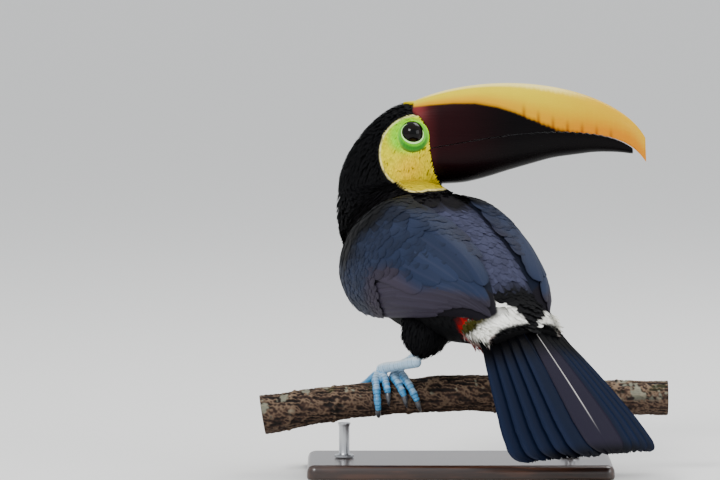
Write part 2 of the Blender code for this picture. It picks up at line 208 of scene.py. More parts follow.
def scatter(surface, firstRow, lastRow, spacing, seed):
    # staggered rows a spacing apart, thinned where the grid is crowded, so that roots lie evenly
    rng = np.random.default_rng(seed)
    rowSteps, colSteps = surface["rowStep"], surface["colStep"]
    rows, cols, row = [], [], float(firstRow)
    while row <= lastRow:
        i = int(np.clip(round(row), 0, len(rowSteps) - 1))
        widest = rowSteps[i].max()
        count = max(3, int(colSteps[i].sum() / spacing * (colSteps[i].max() / colSteps[i].mean())))
        stagger = 0.5 * (len(rows) % 2)
        col = (np.arange(count) + stagger + rng.uniform(-0.28, 0.28, count)) / count * colSteps.shape[1]
        here = row + rng.uniform(-0.3, 0.3, count) * spacing / widest
        density = nearest(rowSteps, here, col) * nearest(colSteps, here, col) / (widest * colSteps[i].max())
        kept = rng.uniform(0, 1, count) < density
        rows.append(here[kept])
        cols.append(col[kept])
        row += spacing / widest
    return np.concatenate(rows), np.concatenate(cols)


# Meshes


def toWorld(points):
    return (np.asarray(points, float) + [0, 0, branchLift]) * mm


def fromWorld(points):
    return np.asarray(points, float) / mm - [0, 0, branchLift]


def newObject(name, data):
    made = bpy.data.objects.new(name, data)
    bpy.context.scene.collection.objects.link(made)
    return made


def gridFaces(rows, cols, closedRows=False, closedCols=False):
    i = np.arange(rows if closedRows else rows - 1)[:, None]
    j = np.arange(cols if closedCols else cols - 1)[None, :]
    nextRow, nextCol = (i + 1) % rows, (j + 1) % cols
    corners = (i * cols + j, i * cols + nextCol, nextRow * cols + nextCol, nextRow * cols + j)
    return np.stack([np.broadcast_to(c, (len(i), j.shape[1])) for c in corners], -1).reshape(-1, 4)


def capped(points, first=None, last=None):
    # a tube's grid of points, closed by a fan at each end
    rows, cols = points.shape[:2]
    first = points[0].mean(0) if first is None else first
    last = points[-1].mean(0) if last is None else last
    flat = np.concatenate([points.reshape(-1, 3), [first, last]])
    j = np.arange(cols)
    after, end = (j + 1) % cols, (rows - 1) * cols
    fans = np.concatenate([
        np.stack([np.full(cols, rows * cols), after, j], -1),
        np.stack([np.full(cols, rows * cols + 1), end + j, end + after], -1),
    ])
    return flat, [gridFaces(rows, cols, closedCols=True), fans]


def turnedOut(points, faces):
    # every face is turned round if the solid's signed volume comes out negative
    volume = 0
    for part in faces:
        for k in range(1, part.shape[1] - 1):
            a, b, c = points[part[:, 0]], points[part[:, k]], points[part[:, k + 1]]
            volume += np.einsum("ij,ij->i", a, np.cross(b, c)).sum()
    return faces if volume > 0 else [part[:, ::-1] for part in faces]


def addMesh(name, points, faces, finish, slot, colours=None, marks=None, bakeUv=None, sharp=None):
    faces = turnedOut(points, faces if isinstance(faces, list) else [faces])
    corners = np.concatenate([part.ravel() for part in faces]).astype(np.int32)
    sizes = np.concatenate([np.full(len(part), part.shape[1]) for part in faces])
    mesh = bpy.data.meshes.new(name)
    mesh.vertices.add(len(points))
    mesh.vertices.foreach_set("co", toWorld(points).ravel())
    mesh.loops.add(len(corners))
    mesh.loops.foreach_set("vertex_index", corners)
    mesh.polygons.add(len(sizes))
    mesh.polygons.foreach_set("loop_start", (np.cumsum(sizes) - sizes).astype(np.int32))
    mesh.polygons.foreach_set("use_smooth", np.ones(len(sizes), bool))
    mesh.update(calc_edges=True)
    if colours is not None:
        paint = mesh.color_attributes.new("plumage", "FLOAT_COLOR", "POINT")
        paint.data.foreach_set("color", np.concatenate([colours, np.ones((len(colours), 1))], 1).ravel())
    if marks is not None:
        mesh.attributes.new("vane", "FLOAT_VECTOR", "POINT").data.foreach_set("vector", marks.ravel())
    if bakeUv is not None:
        mesh.uv_layers.new(name="OFBake").data.foreach_set("uv", bakeUv[corners].ravel())
    if sharp:
        mesh.set_sharp_from_angle(angle=math.radians(sharp))
    mesh.materials.append(finish)
    made = newObject(name, mesh)
    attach(made, "root")
    return made


def joined(lots):
    # the lots' arrays end to end, with the faces shifted past the points before them
    shifts = np.cumsum([0] + [len(lot["points"]) for lot in lots[:-1]])
    whole = {key: np.concatenate([lot[key] for lot in lots]) for key in lots[0]}
    whole["faces"] = np.concatenate([lot["faces"] + shift for lot, shift in zip(lots, shifts)])
    return whole


def remeshed(points, faces, look):
    # one closed surface round overlapping solids, which are in metres: its places in millimetres, its normals
    # and its quads
    rough = bpy.data.meshes.new("rough")
    rough.from_pydata(points.tolist(), [], faces)
    made = newObject("rough", rough)
    remesh = made.modifiers.new("one_body", "REMESH")
    remesh.mode = "VOXEL"
    remesh.voxel_size = look["voxel"] * mm
    made.modifiers.new("soften", "SMOOTH").iterations = look["softening"]
    fine = made.evaluated_get(bpy.context.evaluated_depsgraph_get()).to_mesh()
    places, normals = np.empty((2, len(fine.vertices) * 3))
    fine.vertices.foreach_get("co", places)
    fine.vertices.foreach_get("normal", normals)
    quads = np.empty(len(fine.polygons) * 4, np.int32)
    fine.polygons.foreach_get("vertices", quads)
    bpy.data.objects.remove(made)
    bpy.data.meshes.remove(rough)
    return fromWorld(places.reshape(-1, 3)), unit(normals.reshape(-1, 3)), quads.reshape(-1, 4)


# Materials


def linear(hexColour):
    # an sRGB hex colour as linear light: ((s + 0.055) / 1.055)^2.4, or s / 12.92 near black
    s = np.array([int(hexColour[i : i + 2], 16) for i in (1, 3, 5)]) / 255
    return np.where(s > 0.04045, ((s + 0.055) / 1.055) ** 2.4, s / 12.92)


def rgba(hexColour):
    return (*linear(hexColour), 1)


def towards(colour, other, share):
    # a share of the way from one colour to another
    colour, other = (linear(one) if isinstance(one, str) else one for one in (colour, other))
    return colour + (other - colour) * np.asarray(share, float)[..., None]


def layered(look, base, *layers):
    # a base colour with each layer's colour, by its name in look, laid over it by its share
    colour = look[base] if isinstance(base, str) else base
    for name, share in layers:
        colour = towards(colour, look[name], share)
    return colour


def addNode(tree, kind, inputs=None, **settings):
    # one node: its own settings, then each input's link or value
    made = tree.nodes.new("ShaderNode" + kind)
    for key, value in settings.items():
        setattr(made, key, value)
    for key, value in (inputs or {}).items():
        if isinstance(value, bpy.types.NodeSocket):
            tree.links.new(value, made.inputs[key])
        else:
            made.inputs[key].default_value = value
    return made


def paintOf(tree):
    return addNode(tree, "Attribute", attribute_name="plumage").outputs["Color"]


def placeOf(tree, stretch=None):
    place = addNode(tree, "TexCoord").outputs["Object"]
    return addNode(tree, "Mapping", {"Vector": place, "Scale": stretch}).outputs[0] if stretch else place


def between(tree, value, low, high):
    return addNode(tree, "MapRange", {"Value": value, "To Min": low, "To Max": high}).outputs[0]


def scaled(tree, colour, factor):
    return addNode(tree, "VectorMath", {0: colour, "Scale": factor}, operation="SCALE").outputs[0]


def bumped(tree, height, strength, distance):
    bump = addNode(tree, "Bump", {"Height": height, "Strength": strength, "Distance": distance * mm})
    return bump.outputs["Normal"]


def newMaterial(name):
    made = bpy.data.materials.new(name)
    made.use_nodes = True
    made.node_tree.nodes.clear()
    return made, made.node_tree


def blended(tree, factor, first, second):
    inputs = {"Factor": factor, "A": rgba(first), "B": rgba(second)}
    return addNode(tree, "Mix", inputs, data_type="RGBA").outputs["Result"]


def principled(tree, colour, roughness, ior, others):
    inputs = {"Base Color": colour, "Roughness": roughness, "IOR": ior, **others}
    shader = addNode(tree, "BsdfPrincipled", inputs)
    addNode(tree, "OutputMaterial", {"Surface": shader.outputs["BSDF"]})


def featherMaterial(name, look):
    # keratin barbs over a hollow shaft: matt, each vane a little lighter or darker than the next, with barbs
    # that run out from the shaft; drawn a few times coarser than real barbs, so that they show
    made, tree = newMaterial(name)
    vane = addNode(tree, "Attribute", attribute_name="vane").outputs["Vector"]
    across, along, own = addNode(tree, "SeparateXYZ", {"Vector": vane}).outputs
    out = addNode(tree, "Math", {0: across}, operation="ABSOLUTE").outputs[0]
    lean = addNode(tree, "Math", {0: out, 1: -look["barbLean"], 2: along}, operation="MULTIPLY_ADD")
    barbAt = addNode(tree, "CombineXYZ", {"X": lean.outputs[0], "Y": own}).outputs[0]
    barbs = addNode(tree, "TexWave", {"Vector": barbAt, "Scale": 0.314 / look["barbGap"], "Distortion": 1.2,
                                      "Detail": 1.0, "Detail Scale": 2.0},
                    wave_type="BANDS", bands_direction="X").outputs["Fac"]
    tone = between(tree, own, 1 - look["spread"], 1 + look["spread"])
    streak = between(tree, barbs, 1 - look["streak"], 1.0)
    both = addNode(tree, "Math", {0: tone, 1: streak}, operation="MULTIPLY").outputs[0]
    shader = {"Specular IOR Level": look["gloss"], "Normal": bumped(tree, barbs, look["bump"], 0.1)}
    principled(tree, scaled(tree, paintOf(tree), both), look["roughness"], 1.54, shader)
    return made


downLook = {"barbGap": 0.7, "barbLean": 1.1, "spread": 0.18, "streak": 0.25, "bump": 0.3, "roughness": 0.75,
            "gloss": 0.07}
velvetFeather = featherMaterial("velvet_feather", downLook)
paleFeather = featherMaterial("fluffy_pale_feather", dict(downLook, spread=0.07, streak=0.12))
vanedFeather = featherMaterial("vaned_wing_feather", dict(
    downLook, barbGap=0.9, spread=0.14, streak=0.2, roughness=0.6, gloss=0.1))
tailVane = featherMaterial("vaned_tail_feather", dict(
    downLook, barbGap=1.1, spread=0.06, streak=0.2, roughness=0.62, gloss=0.04))
print("feather materials done")


# The bird's body as one surface, from the tail's root to the edge of the bill

trunkAt, trunkAxes = np.array([-12, 2, 97.0]), axesOf(40, 26)
headAt, headAxes = np.array([-49, 60, 186.0]), axesOf(-90, 0)
tailAxes = axesOf(38, 42.5)
billAt = np.array([-22.8, 60, 187.8])
eyeAt = {"forward": 12.8, "out": 20, "up": 13.3}

bodyShape = {
    # distance along the trunk: lift of its middle, half width, height and depth
    "trunk": {
        -106: (0, 34, 8, 8),
        -88: (0, 39, 19, 16),
        -60: (0, 47, 36, 30),
        -20: (0, 53, 47, 47),
        20: (0, 54, 50, 55),
        52: (3, 50, 47, 53),
    },
    # place, direction of the nape or crown, half width, height and depth
    "neck": (
        ((-58, 56, 150), (-0.45, -0.80, 0.10), (37, 35, 36)),
        ((-57.5, 59, 173), (-0.85, -0.25, 0.50), (30, 29.5, 30)),
        ((-48, 60, 185), (-0.60, 0, 0.80), (28, 30.5, 30)),
    ),
    "rings": 32,
    "sides": 22,
    "neckRing": 27,
    "headRings": 9,
    "headCurl": 1.0,
    "cheeks": (0.36, 0.04),
    "billLength": 167,
    "billHalfWidth": 20,
    # the loose feathers of the jaw and chin, which hang over the bent neck: middle, shift and radius
    "loose": (((-29, 41, 163), (-1, -4, -4.5), 10), ((-19, 54, 160), (1.0, -2.5, -4.0), 12)),
    "creaseRing": 27.3,
}


def withJowl(points):
    # each point moves by the shift times exp(-(distance / radius)^2)
    for middle, shift, radius in bodyShape["loose"]:
        away = np.linalg.norm(points - middle, axis=-1, keepdims=True)
        points = points + np.array(shift) * bell(away / radius)
    return points


def eased(points):
    # under the chin each row is averaged with its neighbours, by weights exp(-(distance / 1.2 rings)^2)
    ring, side = np.arange(points.shape[0]) / rowTimes, np.arange(points.shape[1]) / colTimes
    weights = bell((ring[:, None] - ring[None]) / 1.2)
    mean = np.einsum("ab,bcx->acx", weights / weights.sum(1, keepdims=True), points)
    share = bell((ring - bodyShape["creaseRing"]) / 2.0)[:, None] * (
        smooth(10, 13, side) * smooth(22, 19, side))
    return withJowl(points + (mean - points) * share[..., None])


def spineRows():
    rows = []
    for along, (lift, *sizes) in bodyShape["trunk"].items():
        up = tailAxes[2] * 0.6 + trunkAxes[2] * 0.4 if along < -80 else trunkAxes[2]
        rows.append((*(trunkAt + along * trunkAxes[0] + lift * trunkAxes[2]), *up, *sizes))
    return rows + [(*place, *up, *sizes) for place, up, sizes in bodyShape["neck"]]


def culmen(x):
    # height of the upper ridge: the top of an ellipse
    return 57 * np.sqrt(1 - np.clip((x - 60) / 110, -1, 1) ** 2) - 8


def tomium(x):
    # height of the closing line: 30 s (1 - s^2.2) - 12 s^16, a low arch that hooks down at the tip
    s = np.clip(x / bodyShape["billLength"], 0, 1)
    return 30 * s * (1 - s**2.2) - 12 * s**16


def gonys(x):
    # height of the lower ridge, by distance from the corner of the mouth
    places, heights = (0, 27, 44, 61, 95, 128, 146, 158), (-28.5, -27, -22.8, -17.3, -7.6, -3.2, -3.4, -5)
    fine = np.linspace(0, 158, 80)
    soft = np.convolve(np.pad(np.interp(fine, places, heights), 3, mode="edge"), np.ones(7) / 7, "valid")
    return np.interp(x, fine, soft)


def baseEdge(z):
    # how far forward the feathers reach onto the bill at a height
    return 1 - 12.6 * np.clip(z / 31, 0, 1) ** 2.5 + 8.3 * np.clip(-z / 27.4, 0, 1.2) ** 1.6


def billSurface(share, angle, length, lift=0.0):
    # share of the way to the tip, at an angle from the left over the top: height goes from the closing line
    # to the ridge with |sin|^0.8, and width is cos times a half width that narrows with 1 - s^3
    share, angle = np.broadcast_arrays(np.asarray(share, float), np.asarray(angle, float))
    top = np.sin(angle) > 0
    q = np.abs(np.sin(angle)) ** 0.8
    zero = np.zeros_like(share)
    ridge = np.where(top, culmen(zero), gonys(zero))
    start = baseEdge(tomium(zero) + (ridge - tomium(zero)) * q)
    x = start + (length - start) * share
    ridge = np.where(top, culmen(x), gonys(x))
    z = tomium(x) + (ridge - tomium(x)) * q + lift
    s = np.clip(x / bodyShape["billLength"], 0, 1)
    wide = bodyShape["billHalfWidth"] * (1 - 0.45 * s) * np.sqrt(np.maximum(1 - s**3, 0))
    return x, np.cos(angle) * wide, z


def bodyRings():
    tube = ovalTube(spineRows(), bodyShape["rings"], bodyShape["sides"])[: bodyShape["neckRing"] + 1]
    nape, way = tube[-1], unit([-0.05, 0.09, 1])
    angle = roundTurn(bodyShape["sides"])
    edge = billAt + np.stack(billSurface(0, angle, bodyShape["billLength"]), -1) @ headAxes
    reach = np.linalg.norm(edge - nape, axis=1)[:, None]
    pull = reach**2 / reach.max() * bodyShape["headCurl"]
    rings = [tube]
    for t in np.linspace(0, 1, bodyShape["headRings"])[1:]:
        made = hermite(t, nape, edge, pull * way, pull * headAxes[0])
        aside = (made - made.mean(0)) @ headAxes[1]
        aside *= np.where(aside > 0, *bodyShape["cheeks"]) * math.sin(math.pi * t)
        rings.append((made + aside[:, None] * headAxes[1])[None])
    return np.concatenate(rings)


rowTimes, colTimes, spineSteps = 8, 8, 240
body = makeSurface(bodyRings(), True, rowTimes, colTimes, reshape=eased)
bodyRows, bodyCols = body["rowStep"].shape
# the middle line of the breast and throat, up to the chin
throatLine = body["points"][int(21.3 * rowTimes) :: 6, int(16.5 * colTimes)]
low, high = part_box("head")
print("body surface:", bodyRows, "by", bodyCols, "points; head tops at", round(high[2] / mm - branchLift, 1),
      "and", round(body["points"][..., 2].max(), 1))


# Markings: one colour rule for skin and coat alike, by place on the body

plumage = {
    "black": "#060608",
    "mantle": "#0f0d10",
    # the back's blue-grey is a painted sheen on black feathers
    "back": "#36384c",
    "face": "#e2ca00",
    "faceLemon": "#cccc00",
    "faceDeep": "#e8bc00",
    "glow": "#8cdc00",
    "rim": "#fff3b4",
    "bibEdge": "#f5efdc",
    "red": "#8a060a",
    "rump": "#fbfaf2",
    "rumpShade": "#33300a",
    # painted sheen: the slate, blue and purple greys of the black wing
    "wingSlate": "#232b40",
    "wingBlueSheen": "#1e283f",
    "wingPurpleSheen": "#1b1d30",
    "wingBand": "#342f3c",
    "faceMiddle": (3.0, -14.5),  # forward of and above the eye
    "faceRadii": (28.0, 28.5),
    "bibRadius": (23.0, 11.0),  # on the breast, and under the bill
    "bibFarSide": 13.0,  # wider by this on the side the head is turned from
}


def onHead(points):
    return (points - headAt) @ headAxes.T


def onTrunk(points):
    # distance along the trunk, distance to the left, and degrees round it from the back
    q = (points - trunkAt) @ trunkAxes.T
    return q[..., 0], q[..., 1], np.degrees(np.arctan2(np.abs(q[..., 1]), q[..., 2]))


def faceDistance(points):
    # millimetres outside the face's oval or the bib round the throat, whichever is nearer, inside negative;
    # and the place along the throat, from 0 on the breast to 1 at the chin
    x, y, z = np.moveaxis(onHead(points), -1, 0)
    a = (x - eyeAt["forward"] - plumage["faceMiddle"][0]) / plumage["faceRadii"][0]
    b = (z - eyeAt["up"] - plumage["faceMiddle"][1]) / plumage["faceRadii"][1]
    oval = (np.sqrt(a * a + b * b) - 1) * plumage["faceRadii"][0]
    flat = points.reshape(-1, 3)
    away = np.linalg.norm(flat[:, None] - throatLine[None], axis=2)
    place = away.argmin(1) / (len(throatLine) - 1)
    far = (flat - throatLine[away.argmin(1)]) @ [0.45, 0.89, 0]
    wide = plumage["bibFarSide"] * smooth(-2, 12, far) * smooth(0.1, 0.45, place)
    bib = away.min(1) - np.interp(place, (0, 0.6), plumage["bibRadius"]) - wide
    corner = np.maximum(np.maximum(-28.6 - z, 14 - x), z + 12)
    shoulder = 1.2 * np.maximum(0, x - 18) * smooth(-30.5, -33, z)
    chin = 2.0 * np.maximum(0, -29.4 - z) * smooth(-6, -14, y) * smooth(-54, -44, z)
    nearer = np.minimum(np.minimum(oval, corner), bib.reshape(oval.shape))
    return nearer + shoulder + chin, place.reshape(oval.shape)


def lowerBackWedge(along, left):
    # the dark wedge of back feathers that runs down between the two white sides of the rump
    return (left < np.interp(along, (-104, -96, -90, -84, -79, -76), (-2, 0, 2, 6, 14, 30))) & (
        left > -np.interp(along, (-106, -98, -88, -80), (5, 9, 22, 34)))


def faceColour(points, edge):
    # lemon behind the eye, deeper below it, green round its bare skin and pale along the rim
    q = onHead(points)
    x, z = q[..., 0] - eyeAt["forward"], q[..., 2] - eyeAt["up"]
    return layered(
        plumage, "face",
        ("faceLemon", smooth(2, -16, x) * smooth(-30, -6, z) * 0.8),
        ("faceDeep", smooth(16, 2, np.hypot(x + 2, (z + 27) * 1.2)) * 0.7),
        ("glow", smooth(20, 11, np.hypot(x + 2.5, (z + 1) * 1.1)) * smooth(-22, -8, z)),
        ("rim", smooth(-1.5, -0.4, edge) * 0.7))


def plumageColour(points):
    # black, browner over the mantle, and blue on the back, which is a painted sheen on black feathers; the
    # yellow face and bib edged in white and red; the white rump, with a red vent and an olive painted shade
    # below the wing on its left side
    along, left, turn = onTrunk(points)
    wander = ripple(points, 14, 3)
    mantleEdge = 16 + 0.22 * turn + 3 * wander
    onTop = smooth(105, 85, turn + 35 * smooth(-30, -55, along))
    edge, place = faceDistance(points)
    lowEnd = smooth(0.16, 0.06, place)
    colour = layered(
        plumage, "black",
        ("mantle", onTop * smooth(80, 50, along)),
        # painted sheen: blue-grey laid over the black on the back
        ("back", onTop * smooth(mantleEdge + 6, mantleEdge - 6, along)),
        ("bibEdge", (edge > 0) * (edge < 3) * lowEnd),
        ("red", (edge >= 3) * (edge < 11) * lowEnd))
    colour = towards(colour, faceColour(points, edge), smooth(0.35, -0.35, edge))
    wedge = lowerBackWedge(along, left) & (turn < 100)
    start = -78.5 + 7 * smooth(78, 92, turn) + 1.2 * wander
    end = smooth(-101, -98, along + 2 * smooth(70, 90, turn))
    under = 1 - (1 - end) * smooth(120, 112, turn)
    stripes = 7 * np.sin(0.9 * turn + 5 * wander) * smooth(92, 104, turn)
    white = smooth(1.5, -1.5, along - start) * smooth(108, 102, turn + stripes) * end * ~wedge
    # olive painted shade on the white below the wing, on the left side
    underWingShade = turn - np.interp(along, (-94, -90, -84, -76, -70), (64, 71, 85, 97, 101))
    underWingShade = smooth(13, 9, underWingShade) * smooth(-16, -10, underWingShade) * smooth(-94, -86, along) * (left > 0)
    return layered(
        plumage, colour,
        ("black", smooth(-58, -70, along)),
        ("red", smooth(-62, -67, along + 1.5 * wander) * smooth(80, 86, turn) * under),
        ("rump", white),
        ("rumpShade", underWingShade * white))


def wingColour(points):
    # slate above, blue in the middle and darker purple near the back, all a painted sheen on black feathers;
    # a purplish grey band of flight feathers, and black over the shoulder
    along, _, turn = onTrunk(points)
    wander = ripple(points, 22, 5)
    band = np.interp(along, (-80, -64, -40, -26, 0, 20), (33, 63, 82, 83, 81, 93))
    inBand = smooth(-3, 3, turn - band) * smooth(26, 8, along)
    mantleEdge = 14 + 0.24 * turn + 4 * wander
    return layered(
        plumage, "wingSlate",
        ("wingBlueSheen", smooth(28, 55, turn + 6 * wander) * smooth(30, -5, along)),
        ("wingPurpleSheen", smooth(36, 18, turn + 5 * wander)),
        ("wingBand", inBand),
        ("black", inBand * smooth(-15, -75, along) * 0.5),
        ("black", smooth(mantleEdge - 5, mantleEdge + 9, along) * smooth(118, 96, turn)))


# Vanes: thin closed slivers, each laid along the surface from its root


def sliver(rows):
    # a root point, then left edge, ridge, right edge and keel for each (distance, half width), then the tip
    a, b, h, faces = [0.0], [0.0], [0.0], []
    for distance, half in rows:
        a += [distance] * 4
        b += [-half, 0, half, 0]
        h += [0, 1, 0, -1]
    tip = len(a)
    a, b, h = np.array(a + [1.0]), np.array(b + [0.0]), np.array(h + [0.0])
    for k in range(4):
        after = (k + 1) % 4
        faces.append((0, 1 + after, 1 + k))
        faces.append((tip, tip - 4 + k, tip - 4 + after))
        for row in range(len(rows) - 1):
            near, far = 1 + 4 * row, 5 + 4 * row
            faces.append((near + k, near + after, far + after))
            faces.append((near + k, far + after, far + k))
    return a, b, h, np.array(faces)


roundVane = sliver(((0.2, 0.6), (0.42, 0.92), (0.62, 1.0), (0.8, 0.9), (0.91, 0.66), (0.97, 0.36)))
looseVane = sliver(((0.25, 0.7), (0.6, 1.0), (0.85, 0.5)))


def bakePatch(surface, row, col, a, b):
    # a small patch for each feather, at its root's place on an unwrap of the surface
    root = np.stack([(col / surface["colStep"].shape[1]) % 1, row / surface["colStep"].shape[0]], -1)
    patch = np.stack([0.0015 * b, 0.0015 * (2 * a - 1)], -1)
    return np.clip(0.01 + 0.98 * root[..., None, :] + patch, 0, 1)


def layVanes(surface, row, col, template, look, seed, way=-1, scale=1.0):
    # each vane goes its length along the rows, turned by swing: height above the surface is
    # -sink (1 - a)^1.2 + lift a^2, less a curl across it, plus half its thickness
    rng = np.random.default_rng(seed)
    a, b, h, faces = template
    count = len(row)
    size = 1 + look["vary"] * rng.uniform(-1, 1, count)
    length = (look["length"] * size * scale)[:, None]
    half = (look["halfWidth"] * (1 + look["vary"] * rng.uniform(-1, 1, count)))[:, None]
    swing = np.radians(look["stray"] * rng.normal(size=count))[:, None]
    rise = (look["lift"] * (1 + look.get("liftVary", 0.6) * rng.uniform(-1, 1, count)))[:, None]
    forward = length * a
    bend = np.radians(look.get("bend", 6) * rng.normal(size=count))[:, None] * a**2 * length * 0.5
    aside = half * b + bend
    rows = advance(surface, row, col, way * (forward * np.cos(swing) - aside * np.sin(swing)))
    cols = col[:, None] + (forward * np.sin(swing) + aside * np.cos(swing)) / nearest(
        surface["colStep"], row, col)[:, None]
    height = -look["sink"] * (1 - a) ** 1.2 + rise * a**2 - look["curl"] * b**2 + look["thick"] / 2 * h
    points = onSurface(surface, rows, cols, height)
    own = np.broadcast_to(rng.uniform(0, 1, count)[:, None], points.shape[:2])
    return {
        "points": points,
        "faces": (faces[None] + (np.arange(count) * len(a))[:, None, None]).reshape(-1, 3),
        "marks": np.stack([half * b, forward, own], -1),
        "bakeUv": bakePatch(surface, row, col, a, b),
    }


def addFeathers(name, lots, finish, slot, sharp):
    whole = joined([{key: one.reshape(-1, one.shape[-1]) for key, one in lot.items()} for lot in lots])
    points, faces = whole.pop("points"), whole.pop("faces")
    print(name, "has", len(faces) * (faces.shape[1] - 2), "triangles")
    return addMesh(name, points, faces, finish, slot, sharp=sharp, **whole)


def addCoat(name, lots, paintRule, finish, slot, ownShare=0.5, tipShade=1.0):
    # joins lots of vanes into one piece; a vane's colour is read between its root and each of its points
    for lot in lots:
        along = lot["marks"][..., 1] / lot["marks"][..., 1].max(1, keepdims=True)
        shown = lot["points"] * ownShare + lot["points"][:, :1] * (1 - ownShare)
        paint = paintRule(shown.reshape(-1, 3)).reshape(shown.shape)
        lot["colours"] = paint * (1 - (1 - tipShade) * along**5)[..., None]
    return addFeathers(name, lots, finish, slot, 35)


# The skin: the solids of flesh made one by a fine remesh, then drawn in by the coat's depth

skinLook = {"voxel": 1.7, "softening": 6, "depth": 1.8, "faceDepth": 0.6}


def wingShare(points):
    # 1 where the skin stands above the trunk's own surface, as it does on the wings: the height is measured
    # from the plane through the nearest point of the surface
    places = body["points"][: 19 * rowTimes : 4, ::4].reshape(-1, 3)
    normals = body["normals"][: 19 * rowTimes : 4, ::4].reshape(-1, 3)
    rise = []
    for some in np.array_split(points, 16):
        near = (np.sum(places**2, 1) - 2 * some @ places.T).argmin(1)
        rise.append(np.sum((some - places[near]) * normals[near], 1))
    along = onTrunk(points)[0]
    return smooth(-1.2, 0.2, np.concatenate(rise)) * smooth(-98, -94, along) * smooth(66, 58, along)


def makeSkin():
    nodes = ("trunk", "neck", "head", "uppertail_coverts", "undertail_coverts", "wing_left", "wing_right",
             "thigh_left", "thigh_right")
    solids = []
    for name in nodes:
        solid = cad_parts[name].data
        solid.calc_loop_triangles()
        points, faces = np.empty(len(solid.vertices) * 3), np.empty(len(solid.loop_triangles) * 3, np.int32)
        solid.vertices.foreach_get("co", points)
        solid.loop_triangles.foreach_get("vertices", faces)
        solids.append({"points": points.reshape(-1, 3), "faces": faces.reshape(-1, 3)})
    whole = joined(solids)
    places, normals, quads = remeshed(whole["points"], whole["faces"].tolist(), skinLook)
    depth = np.where(faceDistance(places)[0] < 3, skinLook["faceDepth"], skinLook["depth"])
    places = withJowl(places - depth[:, None] * normals)
    # painted shade in the gaps under the feathers: the skin is 0.8 times as bright as the coat, and half as
    # bright as the wing where it stands out as wing
    colours = towards(plumageColour(places) * 0.8, wingColour(places) * 0.5, wingShare(places))
    skin = addMesh("skin", places, quads, velvetFeather, "black_plumage",
                   colours=colours, marks=np.zeros_like(places))
    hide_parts(*nodes)
    print("skin has", len(quads) * 2, "triangles")


makeSkin()


# The coat of the head, neck and trunk

looseLook = {"vary": 0.25, "stray": 8, "curl": 0.1}
coatLook = {
    "face": {"spacing": 1.32, "length": 5.0, "halfWidth": 0.85, "vary": 0.2, "stray": 5, "lift": 0.1,
             "sink": 0.55, "curl": 0.05, "thick": 0.08},
    "head": {**looseLook, "spacing": 1.9, "length": 7.0, "halfWidth": 0.95, "lift": 0.35, "sink": 1.9,
             "curl": 0.15, "thick": 0.2},
    "neck": {**looseLook, "spacing": 2.6, "length": 10.0, "halfWidth": 1.5, "lift": 0.5, "sink": 2.2,
             "curl": 0.25, "thick": 0.25},
    "trunk": {"spacing": 4.2, "length": 20.0, "halfWidth": 4.4, "vary": 0.15, "stray": 4, "lift": 0.15,
              "sink": 1.4, "curl": 0.2, "thick": 0.16},
    "rump": {**looseLook, "spacing": 1.65, "length": 12.5, "halfWidth": 1.1, "lift": 1.1, "sink": 1.8,
             "thick": 0.16},
    "vent": {**looseLook, "spacing": 1.9, "length": 17.0, "halfWidth": 1.0, "stray": 9, "lift": 6.0,
             "sink": 2.0, "thick": 0.18, "liftVary": 0.3},
    "thigh": {"spacing": 2.5, "length": 10.0, "halfWidth": 1.2, "vary": 0.3, "stray": 11, "lift": 0.7,
              "sink": 1.8, "curl": 0.2, "thick": 0.22},
}
coatLook["lowerBack"] = {**coatLook["trunk"], "length": 12, "lift": 1.2}
# the rows of the body that each lot covers, counted in rings
coatRows = {"face": (18.5, 35.3), "head": (27.4, 35), "neck": (18.6, 28.0), "trunk": (3.6, 19),
            "lowerBack": (0.9, 4.0), "rump": (0.7, 4.6)}


def fromEye(points):
    q = onHead(points)
    return np.hypot(q[:, 0] - eyeAt["forward"] - 1.0, q[:, 2] - eyeAt["up"] + 1.8)


def underWing(points):
    # the part of the trunk that a folded wing covers
    along, _, turn = onTrunk(points)
    top = np.interp(along, (-91, -72, -45, -8, 36, 54, 62), (58, 48, 34, 28, 34, 47, 69))
    bottom = np.interp(along, (-91, -72, -45, -8, 36, 54, 62), (58, 60, 92, 115, 132, 122, 94))
    return (turn > top) & (turn < bottom) & (along < 60) & (along > -86)


def spread(name, seed):
    look, (first, last) = coatLook[name], coatRows[name]
    row, col = scatter(body, first * rowTimes, last * rowTimes, look["spacing"], seed)
    return row, col, onSurface(body, row, col)


def lay(name, row, col, vane, seed, size=1.0, **changes):
    return layVanes(body, row, col, vane, {**coatLook[name], **changes}, seed, scale=size)


def onWedge(place):
    # the pale wedge of horn that runs back over the forehead from the bill's ridge
    q = (place - billAt) @ headAxes.T
    return (q[:, 0] > -19.5) & (np.abs(q[:, 1]) < 3.5 + 0.3 * (q[:, 0] + 12)) & (q[:, 2] > 20)


def makeHeadCoat():
    # the feathers of head and neck are smaller towards the face's edge
    row, col, place = spread("face", 21)
    kept = (faceDistance(place)[0] < 0.3) & (fromEye(place) > 10.6)
    face = lay("face", row[kept], col[kept], looseVane, 31)
    addCoat("coat_face", [face], plumageColour, velvetFeather, "black_plumage", ownShare=0.9)
    for name, seed, least, reach in (("head", 22, 0.5, 9), ("neck", 23, 0.45, 12)):
        row, col, place = spread(name, seed)
        edge = faceDistance(place)[0]
        kept = (edge >= 0.2) & (fromEye(place) > 11) & ~onWedge(place)
        size = least + (1 - least) * smooth(1, reach, edge[kept])
        vanes = lay(name, row[kept], col[kept], looseVane, seed + 10, size)
        addCoat("coat_" + name, [vanes], plumageColour, velvetFeather, "black_plumage")


